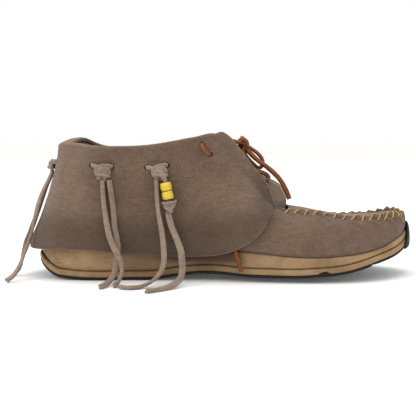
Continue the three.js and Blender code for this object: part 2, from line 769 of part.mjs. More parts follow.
/** A pony bead: a round body with a bore through it. */
function bead() {
  const [bore, outer, half] = [BEAD_BORE / 2, BEAD_DIAMETER / 2, BEAD_HEIGHT / 2];
  const profileLine = [
    [bore, -half + 0.6], [bore + 0.7, -half], [outer - 1.4, -half], [outer - 0.3, -half + 1.3], [outer, 0],
    [outer - 0.3, half - 1.3], [outer - 1.4, half], [bore + 0.7, half], [bore, half - 0.6], [bore, -half + 0.6],
  ].map(([r, z]) => new THREE.Vector2(r, z));
  return new THREE.LatheGeometry(profileLine, 18).rotateX(Math.PI / 2);
}

/** The apron's stitching as one thread that runs above the seam between the plug and the vamp. */
function makeThread() {
  const rise = SEAT_GAP + THREAD / 2 + 0.3;
  const rear = flankT(PLUG_REAR_X, OUTER);
  const points = range(rear, mirrorT(rear), 30).map((t) => rib(t)[2].setZ(rib(t)[2].z + rise).toArray());
  return strand(points, THREAD, 4);
}

const LACE_KNOT_PLACE = [16.6, -5, 101.6];
const BEAD_STEM_TOP = new THREE.Vector3(-42.2, -43, 77.6);
const BEAD_AXIS = new THREE.Vector3(0.19, -0.03, -0.98).normalize();
const BEAD_LEAD = 3.2;

// Free thongs: out of a knot, down the cuff and onto the floor, then out along it.
const THONG_STRANDS = {
  rear_outer_strand_a: [
    [-88.4, -41.5, 76.2], [-87.4, -43.5, 61.2], [-86.1, -45, 52], [-84.5, -47, 43.3], [-82.1, -49.5, 33.8],
    [-78.8, -52, 26.8], [-75.9, -53.5, 22], [-74, -54.5, 17.3], [-72.9, -56, 12.7], [-73.1, -59, 8.3],
    [-74.6, -63, 4.4], [-77.2, -69, 1.8],
  ],
  rear_outer_strand_b: [
    [-83.3, -41, 76.2], [-81.1, -42, 61.4], [-80, -43, 51.8], [-79.5, -44, 43], [-77.6, -45.7, 33.3],
    [-76.7, -46.8, 26.3], [-77.4, -48, 19], [-78.1, -50, 14.2], [-78.4, -53, 9.7], [-80.1, -57.5, 5.5],
    [-83.2, -64.6, 2.6], [-86.8, -74, 1.8],
  ],
  mid_outer_strand_a: [
    [-48.4, -41.5, 76.2], [-47.7, -43.5, 61.2], [-46.7, -45, 52], [-45, -46.5, 43.3], [-43.7, -48, 36],
    [-42.7, -49.5, 26.4], [-42.3, -51, 19.2], [-42.8, -53, 14.6], [-44.8, -57, 9.4], [-48.4, -61.5, 5.8],
    [-52.9, -66.5, 3], [-58.8, -72, 1.8], [-64.1, -75, 1.8], [-69.4, -74, 1.8], [-73.2, -71.4, 1.8],
  ],
  mid_outer_strand_b: [
    [-39.3, -42.5, 53.4], [-39, -43.4, 49.6], [-37.4, -45, 43.1], [-34.4, -47, 35.9], [-32, -48.5, 30.2],
    [-29.9, -50, 24.1], [-29.2, -52, 18.4], [-28.6, -56, 12.7], [-29.6, -62, 7.3], [-32.4, -67.5, 4],
    [-36.7, -73.4, 2.4], [-42.2, -79, 1.8], [-47.1, -84, 1.8], [-52.7, -89.6, 1.8],
  ],
  heel_strand_a: [
    [-132.2, -1.5, 80.2], [-134.4, -2.5, 75], [-137.2, -4, 69], [-139.9, -7, 62], [-142.2, -10, 54.1],
    [-143.8, -14, 45.2], [-145.6, -19, 34.8], [-147.8, -25, 25.6], [-150.2, -31, 17.2], [-152.4, -37, 10.1],
    [-155.2, -43, 5], [-159.2, -47.5, 1.8],
  ],
  heel_strand_b: [
    [-132.2, 3.5, 80.2], [-135, 4, 75], [-138.4, 4.3, 68], [-141.5, 4, 59.3], [-145, 3, 49], [-147.8, 1, 40.2],
    [-150.4, -2, 32.4], [-152.6, -5, 25.9], [-153.9, -8, 19.5], [-155, -11, 13.2], [-155.8, -13.5, 8],
    [-157.5, -14.5, 4], [-160.4, -14, 1.8],
  ],
  rear_inner_strand_a: [
    [-88.6, 39, 76.2], [-87.8, 41, 61], [-86.4, 43, 50], [-85, 45.4, 38], [-84, 47.6, 27], [-83.6, 50, 17],
    [-84.6, 53, 9], [-87, 57.5, 4], [-90, 64, 1.8], [-92, 70, 1.8],
  ],
  rear_inner_strand_b: [
    [-83.2, 39, 76.2], [-82, 40.6, 61], [-80.4, 42.6, 50], [-78.4, 45, 38], [-76.8, 47.2, 27], [-76, 49.6, 17],
    [-75.4, 53, 9], [-75.6, 58, 4], [-78, 64, 1.8], [-82, 68, 1.8],
  ],
  mid_inner_strand_a: [
    [-48.4, 38, 76.2], [-48, 39.6, 61], [-47, 41.4, 50], [-46, 43.6, 38], [-45.2, 45.6, 27], [-45, 48, 17],
    [-46, 51.6, 9], [-49, 56, 4], [-54, 61, 1.8], [-59, 63, 1.8],
  ],
  mid_inner_strand_b: [
    [-43, 38, 76.2], [-41.4, 39.6, 61], [-39.4, 41.4, 50], [-37, 43.6, 38], [-35.2, 45.6, 27], [-34.6, 48, 17],
    [-35.4, 52, 9], [-37.6, 57, 4], [-41, 63, 1.8], [-43, 70, 1.8],
  ],
};

// Free laces: the run from each stitch to the bow, its two loops and its long end, and the tails.
const LACE_STRANDS = {
  lace_run_outer: [
    [-12.6, -31.4, 101.6], [-9, -31.2, 102.4], [-4.5, -30.8, 103.4], [0, -30, 104.4], [4.6, -28.6, 105],
    [8.6, -25.4, 105.2], [11.2, -20, 104.6], [13, -14, 104], [14.4, -10, 103.2],
  ],
  lace_run_inner: [
    [-12.6, 29.5, 97.6], [-9, 29.6, 98.4], [-4.5, 29.5, 99.4], [0, 29, 100.4], [4.6, 27.4, 101.4],
    [9, 23.4, 102.6], [12, 17, 103], [14, 9, 103], [15, 3, 102.8],
  ],
  lace_tail_outer: [
    [-8.4, -33.3, 92.2], [-7.5, -34.1, 88], [-5.5, -35.8, 79.6], [-3, -37.5, 70], [-0.3, -39.1, 61.2],
    [2.3, -40.6, 52], [4.8, -41.9, 42.9], [7.7, -43.1, 32.1], [9.8, -43.9, 25], [12.2, -46.4, 17],
    [14.6, -48.6, 8.6],
  ],
  lace_tail_inner: [
    [-8.4, 30.8, 88.4], [-7.5, 31.4, 84], [-5.5, 32.5, 76], [-3, 33.6, 68], [-0.3, 34.8, 60], [2.3, 36, 51],
    [4.8, 37, 42], [7.7, 38, 32], [9.8, 38.8, 25], [12.2, 41.2, 17], [14.6, 43.4, 8.6],
  ],
  lace_end_long: [
    [19.6, -7.4, 98.4], [21.6, -8, 96.4], [25.4, -8.5, 92.4], [30.4, -9, 88.2], [35.4, -9, 84.7],
    [40.8, -9, 80.1], [45.4, -9, 75.2], [48.9, -9, 69.8], [51.4, -9, 64.8], [53.4, -9, 59.6],
  ],
  lace_loop_upper: [
    [20.9, -3.4, 100.4], [22.9, -1.5, 99.2], [25.3, 0, 97.6], [28.5, 2, 95.2], [31.5, 4, 92.1], [33.2, 5, 88.9],
    [33.3, 6, 85.9], [31.6, 6.2, 83.4], [28.8, 6.2, 83.4], [25.6, 6, 86.2], [22.4, 5, 89.4], [19.9, 3, 92.6],
    [18.4, 0, 96.4],
  ],
  lace_loop_lower: [
    [16.4, -9, 98.2], [17.4, -11.6, 93.6], [19.6, -13.4, 89.4], [23.9, -14, 83.9], [28.6, -12, 81.3],
    [32.3, -9, 80], [35.6, -6.4, 78.2], [37, -7.4, 76.6], [36.4, -11, 75], [33.5, -15.4, 74.2],
    [29.2, -17, 76.4], [22.2, -18, 82.5], [16.9, -16.4, 89.6], [14.6, -11.8, 95.4], [13.6, -9, 98.2],
  ],
};
const LACE_STUB = [[16.6, -3.4, 105.9], [16.7, -3.2, 106.5], [16.6, -3, 107.6]];
const FREE_NODES = [...Object.keys(THONG_STRANDS), ...Object.keys(LACE_STRANDS)];

// ---------------------------------------------------------------- assembly
add("outsole", makeOutsole(), RUBBER);
add("midsole_lower", makeLowerFoam(), FOAM);
add("midsole_upper", makeUpperFoam(), FOAM);
add("insole_board", insert(SEAT_GAP, BOARD_THICKNESS, 8.3, 8.8), BOARD);
add("footbed", insert(BOARD_TOP, FOOTBED_THICKNESS, 9, 11), FOAM);
add("footbed_cover", insert(BOARD_TOP + FOOTBED_THICKNESS + SEAT_GAP, COVER_THICKNESS, 11, 11.6), LINING_HIDE);
add("vamp", makeVamp(), SUEDE);
add("plug", makePlug(), SUEDE);
add("tongue", makeTongue(), SUEDE);
add("quarter", makeQuarter(), SUEDE);
add("heel_counter", makeCounter(), STIFFENER);
add("collar_lining", makeLining(), LINING_HIDE);
add("cuff", makeCuff(), SUEDE);
add("apron_thread", makeThread(), COTTON);

thongs.forEach(({ name, spot, holes, size }) => {
  add(`${name}_knot`, thongLoop(holes, size).applyMatrix4(spot), STRAND);
});
stitches.forEach(({ name, spot, holes }) => {
  add(`lace_stitch_${name}`, laceStitch(holes).applyMatrix4(spot), LACE_HIDE);
});
add("lace_knot", lump(LACE_KNOT, LACE_KNOT_PLACE), LACE_HIDE);
add("lace_end_short", strand(LACE_STUB, LACE), LACE_HIDE);

Object.entries(THONG_STRANDS).forEach(([name, points]) => add(name, strand(points, THONG), STRAND));
Object.entries(LACE_STRANDS).forEach(([name, points]) => add(name, strand(points, LACE), LACE_HIDE));

const beadTurn = new THREE.Quaternion().setFromUnitVectors(new THREE.Vector3(0, 0, -1), BEAD_AXIS);
const onStem = (distance) => BEAD_STEM_TOP.clone().addScaledVector(BEAD_AXIS, distance);
const beadPitch = BEAD_HEIGHT + SEAT_GAP;
const firstBead = BEAD_LEAD + BEAD_HEIGHT / 2;
const stemEnd = firstBead + beadPitch + BEAD_HEIGHT / 2 + SEAT_GAP + BEAD_KNOT[2] * 0.8;
const stem = bar(BEAD_STEM_TOP, onStem(stemEnd), THONG);
add("bead_thong", joined(stem, lump(BEAD_KNOT, onStem(stemEnd + 0.5).toArray())), STRAND);
["bead_upper", "bead_lower"].forEach((name, k) => {
  const ringBead = add(name, bead(), BEAD_GLASS);
  ringBead.quaternion.copy(beadTurn);
  ringBead.position.copy(onStem(firstBead + k * beadPitch));
});

// The origin stands under the middle of the shoe without its free thongs and laces.
const free = new Set(FREE_NODES);
const box = new THREE.Box3();
model.children.filter((mesh) => !free.has(mesh.name)).forEach((mesh) => box.expandByObject(mesh, true));
model.position.set(-(box.min.x + box.max.x) / 2, -(box.min.y + box.max.y) / 2, -box.min.z);

export default model;
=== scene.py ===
"""A low suede moccasin for the right foot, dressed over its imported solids.

Lengths in the tables are millimetres in the model's own frame: +X to the toe, +Y to the inner
side of the foot, +Z up. Everything is scaled to metres as it becomes a mesh.
"""

import json
import logging
import math
from dataclasses import dataclass, field
from enum import Enum, IntEnum
from functools import lru_cache
from typing import Callable, Sequence

import bmesh
import bpy
from mathutils import Matrix, Vector, noise
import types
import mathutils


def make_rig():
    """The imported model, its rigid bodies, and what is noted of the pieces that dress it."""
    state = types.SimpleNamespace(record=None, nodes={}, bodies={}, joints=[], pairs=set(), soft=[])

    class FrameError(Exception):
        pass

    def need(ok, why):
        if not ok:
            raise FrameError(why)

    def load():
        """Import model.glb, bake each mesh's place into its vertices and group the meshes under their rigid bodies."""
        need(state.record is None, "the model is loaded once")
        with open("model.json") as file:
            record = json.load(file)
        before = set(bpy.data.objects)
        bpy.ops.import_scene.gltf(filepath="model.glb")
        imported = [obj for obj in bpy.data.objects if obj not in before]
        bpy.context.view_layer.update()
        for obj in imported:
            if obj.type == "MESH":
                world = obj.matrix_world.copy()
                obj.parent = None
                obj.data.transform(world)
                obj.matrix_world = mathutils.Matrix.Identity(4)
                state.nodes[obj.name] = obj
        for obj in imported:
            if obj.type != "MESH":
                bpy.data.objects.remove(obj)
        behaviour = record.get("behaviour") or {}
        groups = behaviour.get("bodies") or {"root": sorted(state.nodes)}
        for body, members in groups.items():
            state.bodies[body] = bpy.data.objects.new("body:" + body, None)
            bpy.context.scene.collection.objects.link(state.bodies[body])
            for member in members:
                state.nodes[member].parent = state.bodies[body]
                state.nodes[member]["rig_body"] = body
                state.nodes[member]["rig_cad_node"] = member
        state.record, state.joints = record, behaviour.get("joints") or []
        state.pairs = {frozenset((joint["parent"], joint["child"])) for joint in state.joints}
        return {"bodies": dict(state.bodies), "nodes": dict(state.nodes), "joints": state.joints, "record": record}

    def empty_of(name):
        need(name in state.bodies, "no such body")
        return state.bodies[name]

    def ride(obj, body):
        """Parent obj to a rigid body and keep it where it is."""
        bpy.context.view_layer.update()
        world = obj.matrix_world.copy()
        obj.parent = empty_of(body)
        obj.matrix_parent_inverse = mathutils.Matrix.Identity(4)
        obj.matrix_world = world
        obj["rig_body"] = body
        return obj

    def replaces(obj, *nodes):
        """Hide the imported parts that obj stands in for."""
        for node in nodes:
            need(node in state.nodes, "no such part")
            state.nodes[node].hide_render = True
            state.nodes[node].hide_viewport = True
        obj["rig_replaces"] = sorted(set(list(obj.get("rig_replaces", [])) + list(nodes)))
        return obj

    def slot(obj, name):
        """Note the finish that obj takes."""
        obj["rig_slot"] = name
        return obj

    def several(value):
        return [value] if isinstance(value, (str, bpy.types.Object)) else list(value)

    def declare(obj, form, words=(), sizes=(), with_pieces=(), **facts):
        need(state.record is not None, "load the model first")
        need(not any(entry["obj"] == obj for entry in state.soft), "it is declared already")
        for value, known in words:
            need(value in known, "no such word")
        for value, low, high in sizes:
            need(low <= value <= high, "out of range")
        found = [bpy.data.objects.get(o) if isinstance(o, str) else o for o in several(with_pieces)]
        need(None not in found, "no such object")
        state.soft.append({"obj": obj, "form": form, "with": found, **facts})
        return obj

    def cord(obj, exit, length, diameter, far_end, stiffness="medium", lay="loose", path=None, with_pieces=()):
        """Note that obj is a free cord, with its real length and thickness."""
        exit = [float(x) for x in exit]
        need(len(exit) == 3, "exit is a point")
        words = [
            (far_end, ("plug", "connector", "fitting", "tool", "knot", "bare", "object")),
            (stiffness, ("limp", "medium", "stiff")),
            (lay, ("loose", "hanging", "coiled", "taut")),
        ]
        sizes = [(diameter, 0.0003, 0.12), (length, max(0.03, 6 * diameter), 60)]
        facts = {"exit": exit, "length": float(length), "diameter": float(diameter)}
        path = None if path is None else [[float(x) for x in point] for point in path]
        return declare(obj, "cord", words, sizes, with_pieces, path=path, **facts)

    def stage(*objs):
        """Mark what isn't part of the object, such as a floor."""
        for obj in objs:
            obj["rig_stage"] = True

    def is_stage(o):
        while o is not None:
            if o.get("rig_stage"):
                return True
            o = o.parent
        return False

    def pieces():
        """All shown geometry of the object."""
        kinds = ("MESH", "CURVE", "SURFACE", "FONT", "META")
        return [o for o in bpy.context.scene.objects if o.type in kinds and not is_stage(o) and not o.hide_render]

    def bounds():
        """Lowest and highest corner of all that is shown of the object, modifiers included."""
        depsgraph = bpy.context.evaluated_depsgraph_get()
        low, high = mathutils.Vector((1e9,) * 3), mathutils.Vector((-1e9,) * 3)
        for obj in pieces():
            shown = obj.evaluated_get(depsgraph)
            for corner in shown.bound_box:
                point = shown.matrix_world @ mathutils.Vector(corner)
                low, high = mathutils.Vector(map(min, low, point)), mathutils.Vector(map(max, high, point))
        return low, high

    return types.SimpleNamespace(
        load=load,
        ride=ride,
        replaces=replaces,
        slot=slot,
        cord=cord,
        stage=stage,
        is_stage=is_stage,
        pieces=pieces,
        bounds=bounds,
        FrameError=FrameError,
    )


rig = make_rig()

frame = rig.load()
CAD_BOX = [list(corner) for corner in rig.bounds()]
LOG = logging.getLogger("moccasin")
MM = 0.001
WELD = 1e-6
Place = Callable[[float, float], Vector]
Point = tuple[float, float, float]


class Side(IntEnum):
    """Which flank of the shoe."""

    OUTER = -1
    INNER = 1


class Body(str, Enum):
    """The moving bodies that pieces ride on."""

    SHOE = "shoe"
    BEAD_UPPER = "bead_upper"
    BEAD_LOWER = "bead_lower"


class FarEnd(str, Enum):
    """What a cord ends in."""

    BARE = "bare"
    OBJECT = "object"


class Lay(str, Enum):
    """How a cord lies."""

    LOOSE = "loose"
    HANGING = "hanging"


# ---------------------------------------------------------------- small maths
def clamp(value: float, low: float = 0.0, high: float = 1.0) -> float:
    """Keeps a value between two limits."""
    return max(low, min(high, value))


def mix(first, second, share: float):
    """The value or vector a share of the way from the first to the second."""
    return first + (second - first) * share


def ease(low: float, high: float, value: float) -> float:
    """Rises smoothly from 0 at low to 1 at high."""
    share = clamp((value - low) / (high - low))
    return share * share * (3 - 2 * share)


def between(rise: tuple[float, float], fall: tuple[float, float], value: float) -> float:
    """Rises from 0 to 1 over one span and falls back to 0 over a later one."""
    return ease(*rise, value) * (1 - ease(*fall, value))


def chance(index: int, seed: int = 0) -> float:
    """A repeatable number from 0 to 1 for a counted thing."""
    return noise.cell(Vector((index * 1.37 + 0.31, seed * 7.13 + 0.57, 0.5)))


def profile(points: Sequence[tuple[float, float]]) -> Callable[[float], float]:
    """A smooth height over x through given points.

    Args:
        points: pairs of x and height, in rising x.

    Returns:
        The height as a function of x, level beyond the ends.
    """
    last = len(points) - 1
    slopes = []
    for k in range(len(points)):
        before, after = points[max(0, k - 1)], points[min(last, k + 1)]
        slopes.append((after[1] - before[1]) / (after[0] - before[0]))

    def height(x: float) -> float:
        """The height at x."""
        at = clamp(x, points[0][0], points[last][0])
        k = 0
        while k < last - 1 and at > points[k + 1][0]:
            k += 1
        span = points[k + 1][0] - points[k][0]
        share = (at - points[k][0]) / span
        rise = points[k + 1][1] - points[k][1]
        bend_in = share * (1 - share) ** 2 * span * slopes[k]
        bend_out = share * share * (share - 1) * span * slopes[k + 1]
        return points[k][1] + rise * share * share * (3 - 2 * share) + bend_in + bend_out

    return height


def smooth_line(points: Sequence[Vector], step: float) -> list[Vector]:
    """Evenly spaced points along a smooth curve through the given ones.

    Args:
        points: the points that the curve passes through.
        step: the wanted distance between neighbours, in millimetres.

    Returns:
        The points, both ends included.
    """
    framed = [2 * points[0] - points[1], *points, 2 * points[-1] - points[-2]]
    dense = []
    for k in range(len(points) - 1):
        four = framed[k:k + 4]
        knots = [0.0]
        for first, second in zip(four, four[1:]):
            knots.append(knots[-1] + max((second - first).length, 1e-6) ** 0.5)
        for j in range(14):
            at = mix(knots[1], knots[2], j / 14)
            level = four
            for reach in (1, 2):
                shares = [(at - knots[i]) / (knots[i + reach] - knots[i])
                          for i in range(len(level) - 1)]
                level = [mix(level[i], level[i + 1], share) for i, share in enumerate(shares)]
            dense.append(mix(level[0], level[1], (at - knots[1]) / (knots[2] - knots[1])))
    dense.append(points[-1].copy())
    reach = [0.0]
    for first, second in zip(dense, dense[1:]):
        reach.append(reach[-1] + (second - first).length)
    count = max(3, round(reach[-1] / step))
    line = []
    k = 0
    for j in range(count + 1):
        at = reach[-1] * j / count
        while k < len(reach) - 2 and reach[k + 1] < at:
            k += 1
        line.append(mix(dense[k], dense[k + 1], (at - reach[k]) / (reach[k + 1] - reach[k])))
    return line


# ---------------------------------------------------------------- shape of the last
@dataclass(frozen=True)
class Column:
    """The upper's side at one place round the foot: a curve from feather edge to top."""

    foot: Vector
    shoulder: Vector
    top: Vector
    out: Vector

    def at(self, share: float) -> Vector:
        """The point of the side at a share of its curve."""
        rest = 1 - share
        return rest * rest * self.foot + 2 * share * rest * self.shoulder + share * share * self.top

    @property
    def reach(self) -> float:
        """Length of the side, from the feather edge to the top."""
        return (self.top - self.shoulder).length + (self.shoulder - self.foot).length

    def share(self, height: float) -> float:
        """The share of the curve at a height."""
        bend = self.foot.z - 2 * self.shoulder.z + self.top.z
        lift = 2 * (self.shoulder.z - self.foot.z)
        drop = self.foot.z - height
        if abs(bend) < 1e-6:
            return clamp(-drop / lift)
        root = math.sqrt(max(0.0, lift * lift - 4 * bend * drop))
        return clamp((root - lift) / (2 * bend))


def low(share: float) -> float:
    """A height as a share of the apron seam's."""
    return share * 48


def high(share: float) -> float:
    """A height as a share of the collar's."""
    return share * 105


@dataclass(frozen=True)
class Last:
    """The foot's shape that every piece of the shoe follows."""

    length: float = 292
    ball: float = 102
    toe_x: float = 147.5
    seat: float = 0.3
    feather: float = 2.5
    rubber: float = 2
    lower: float = 4.3
    joint: float = 0.45
    stations: tuple = (
        (0.0, 0.0, 0.078, 0.0, high(0.95), -12.5, 0.62),
        (0.04, -0.265, 0.112, -0.2, high(0.95), -9, 0.62),
        (0.125, -0.363, 0.18, -0.285, high(0.93), -3, 0.6),
        (0.283, -0.353, 0.296, -0.295, high(0.935), -1, 0.6),
        (0.42, -0.358, 0.419, -0.29, high(0.985), -1, 0.6),
        (0.495, -0.392, 0.487, -0.28, high(1.0), 1, 0.6),
        (0.57, -0.446, 0.546, -0.28, high(0.82), 3, 0.7),
        (0.638, -0.48, 0.638, -0.318, low(1.14), 4, 0.84),
        (0.734, -0.5, 0.734, -0.318, low(1.035), 4, 0.86),
        (0.851, -0.45, 0.841, -0.313, low(0.955), 4, 0.86),
        (0.934, -0.313, 0.92, -0.215, low(0.955), 4, 0.84),
        (0.985, -0.118, 0.965, -0.08, low(0.98), 3.5, 0.8),
        (1.0, 0.069, 0.979, 0.075, low(0.99), 3.5, 0.8),
        (0.978, 0.255, 0.957, 0.2, low(0.98), 3.5, 0.8),
        (0.913, 0.412, 0.9, 0.29, low(0.92), 4, 0.84),
        (0.817, 0.48, 0.81, 0.315, low(0.89), 4, 0.86),
        (0.721, 0.5, 0.721, 0.318, low(0.98), 4, 0.86),
        (0.638, 0.46, 0.638, 0.314, low(1.14), 4, 0.84),
        (0.563, 0.392, 0.546, 0.27, high(0.8), 3, 0.7),
        (0.495, 0.343, 0.487, 0.272, high(0.955), 1, 0.6),
        (0.42, 0.304, 0.419, 0.27, high(0.945), 0, 0.6),
        (0.283, 0.304, 0.296, 0.27, high(0.905), 0, 0.6),
        (0.125, 0.343, 0.18, 0.265, high(0.92), -3, 0.6),
        (0.04, 0.255, 0.112, 0.19, high(0.985), -9, 0.62),
    )
    foam_line: tuple = (
        (0.0, 27.5), (0.12, 27), (0.32, 26), (0.53, 23), (0.66, 19.4), (0.74, 18.7), (0.84, 20.6),
        (0.91, 24.5), (0.965, 30.5), (1.0, 34),
    )

    def station(self, t: float) -> list[float]:
        """The table's values at t, where 0 is the heel and 0.5 the toe tip."""
        count = len(self.stations)
        place = (t % 1) * count
        k = int(place)
        s = place - k
        rows = [self.stations[(k + n) % count] for n in (-1, 0, 1, 2)]
        values = []
        for a, b, c, d in zip(*rows):
            bend = (2 * a - 5 * b + 4 * c - d) * s * s + (3 * b - a - 3 * c + d) * s ** 3
            values.append(0.5 * (2 * b + (c - a) * s + bend))
        return values

    def at_length(self, share: float) -> float:
        """The x at a share of the sole's length."""
        return self.toe_x - self.length + share * self.length

    @lru_cache(maxsize=None)
    def plan(self, t: float) -> Vector:
        """The sole's edge seen from above."""
        row = self.station(t)
        return Vector((self.at_length(row[0]), row[1] * self.ball, 0))

    @lru_cache(maxsize=None)
    def outward(self, t: float) -> Vector:
        """The level direction out of the sole's edge."""
        along = (self.plan(t + 1e-3) - self.plan(t - 1e-3)).normalized()
        return Vector((along.y, -along.x, 0))

    def edge(self, t: float, inset: float, height: float) -> Vector:
        """A point of the sole's edge, moved in by inset, at a height."""
        point = self.plan(t) - self.outward(t) * inset
        point.z = height
        return point

    def tread(self, x: float) -> float:
        """Height of the tread's face over x."""
        bevel, spring = self.toe_x - self.length + 22, self.toe_x - 72
        if x < bevel:
            return 12 * ((bevel - x) / 22) ** 1.6
        if x > spring:
            return 21 * ((x - spring) / 72) ** 2
        share = clamp((x + 55) / 83)
        return 5 * math.sin(math.pi * share) ** 2

    def rim(self, x: float) -> float:
        """Height of the tread's face at the sole's edge, which curls up off the floor."""
        return self.tread(x) + EDGE_LIFT(x)

    def foam_top(self, x: float) -> float:
        """Height of the foam cup's upper edge over x."""
        return FOAM_TOP(x)

    @lru_cache(maxsize=None)
    def column(self, t: float) -> Column:
        """The upper's side at t."""
        row = self.station(t)
        foot = self.edge(t, self.feather, 0)
        foot.z = self.foam_top(foot.x) + self.seat
        top = Vector((self.at_length(row[2]), row[3] * self.ball, row[4]))
        shoulder = foot + self.outward(t) * row[5]
        shoulder.x += (top.x - foot.x) * 0.3
        shoulder.z = foot.z + (top.z - foot.z) * row[6]
        return Column(foot, shoulder, top, self.outward(t))

    def under(self, t: float, share: float, depth: float) -> Vector:
        """A point of the upper at a depth under its face."""
        step = 1e-3
        around = self.column(t + step).at(share) - self.column(t - step).at(share)
        side = self.column(t)
        rise = side.at(min(1, share + step)) - side.at(max(0, share - step))
        normal = around.cross(rise).normalized()
        normal.z = max(0, normal.z) * min(1, 4 * share)
        return side.at(share) - normal.normalized() * depth

    def flank(self, x: float, side: Side) -> float:
        """The t on a flank whose plan lies at x."""
        near, far = 0.0, 0.5
        for _ in range(30):
            middle = (near + far) / 2
            if self.plan(middle if side < 0 else 1 - middle).x < x:
                near = middle
            else:
                far = middle
        return near if side < 0 else 1 - near


LAST = Last()
FOAM_TOP = profile([(LAST.at_length(share), height) for share, height in LAST.foam_line])
# The rib and notch across the sole, the curl under its lifted edge, and the x at which the
# vamp's seam and the cuff's fold end.
RIB_X, NOTCH_X = 76, 115
KEEL_CURL = 4.2
KEEL_MARKS, BAR_INSET = ((11.6, 0.0), (12.0, 0.9)), 12.5
TREAD_BARS, TREAD_REACH = 42, (-131, 101)
SEAM_REAR = 36
FOLD_END = -8
EDGE_LIFT = profile([
    (-144.5, 0), (-133, 1.2), (-122, 1.4), (-108, 0.4), (-90, 0), (-55, 0.3), (-41, 0.7),
    (-14, 0.2), (8, 2.1), (25, 3.6), (54, 3.6), (74, 4.7), (90, 5.3), (106, 5.9), (118, 5.8),
    (126, 4.8), (136, 3.2), (147.5, 2),
])


@dataclass(frozen=True)
class SeamLine:
    """The apron seam, measured along its length from the outer rear end."""

    start: float
    end: float
    count: int = 600
    table: list = field(default_factory=list)

    def __post_init__(self) -> None:
        """Measures the seam once."""
        total = 0.0
        before = LAST.column(self.start).top
        for k in range(self.count + 1):
            top = LAST.column(mix(self.start, self.end, k / self.count)).top
            total += (top - before).length
            self.table.append(total)
            before = top

    def length_to(self, t: float) -> float:
        """The seam's length from its start to t."""
        place = clamp((t - self.start) / (self.end - self.start)) * self.count
        k = min(self.count - 1, int(place))
        return mix(self.table[k], self.table[k + 1], place - k)

    def at_length(self, length: float) -> float:
        """The t at a length along the seam."""
        k = 0
        while k < self.count - 1 and self.table[k + 1] < length:
            k += 1
        share = (length - self.table[k]) / max(1e-9, self.table[k + 1] - self.table[k])
        return mix(self.start, self.end, (k + share) / self.count)


# ---------------------------------------------------------------- making meshes
@dataclass(frozen=True)
class Section:
    """Cross-section of a strip: its width, thickness and how square its corners are."""

    width: float
    thickness: float
    square: float = 0.6
    sides: int = 12

    def corner(self, turn: float) -> tuple[float, float]:
        """The point at a turn round the section, across and out."""
        across, out = math.cos(math.tau * turn), math.sin(math.tau * turn)
        width = math.copysign(abs(across) ** self.square, across) * self.width / 2
        return width, math.copysign(abs(out) ** self.square, out) * self.thickness / 2


class Route:
    """A smooth line with a frame carried along it."""

    def __init__(self, points: Sequence[Vector], step: float, facing: Vector,
                 twists: Sequence[tuple[float, float]] = ((0, 0), (1, 0))) -> None:
        """Lays the line.

        Args:
            points: points that it passes through, in millimetres.
            step: distance between its rings.
            facing: the way its flat face looks at its start.
            twists: pairs of share and added turn in degrees.
        """
        self.points = smooth_line([Vector(point) for point in points], step)
        spans = zip(self.points, self.points[1:])
        self.length = sum((second - first).length for first, second in spans)
        last = len(self.points) - 1
        self.tangents = [
            (self.points[min(last, k + 1)] - self.points[max(0, k - 1)]).normalized()
            for k in range(last + 1)
        ]
        turn = profile(list(twists))
        normal = facing.copy()
        self.normals, self.sides = [], []
        for k, tangent in enumerate(self.tangents):
            normal = (normal - tangent * normal.dot(tangent)).normalized()
            face = Matrix.Rotation(math.radians(turn(k / last)), 3, tangent) @ normal
            self.normals.append(face)
            self.sides.append(tangent.cross(face))


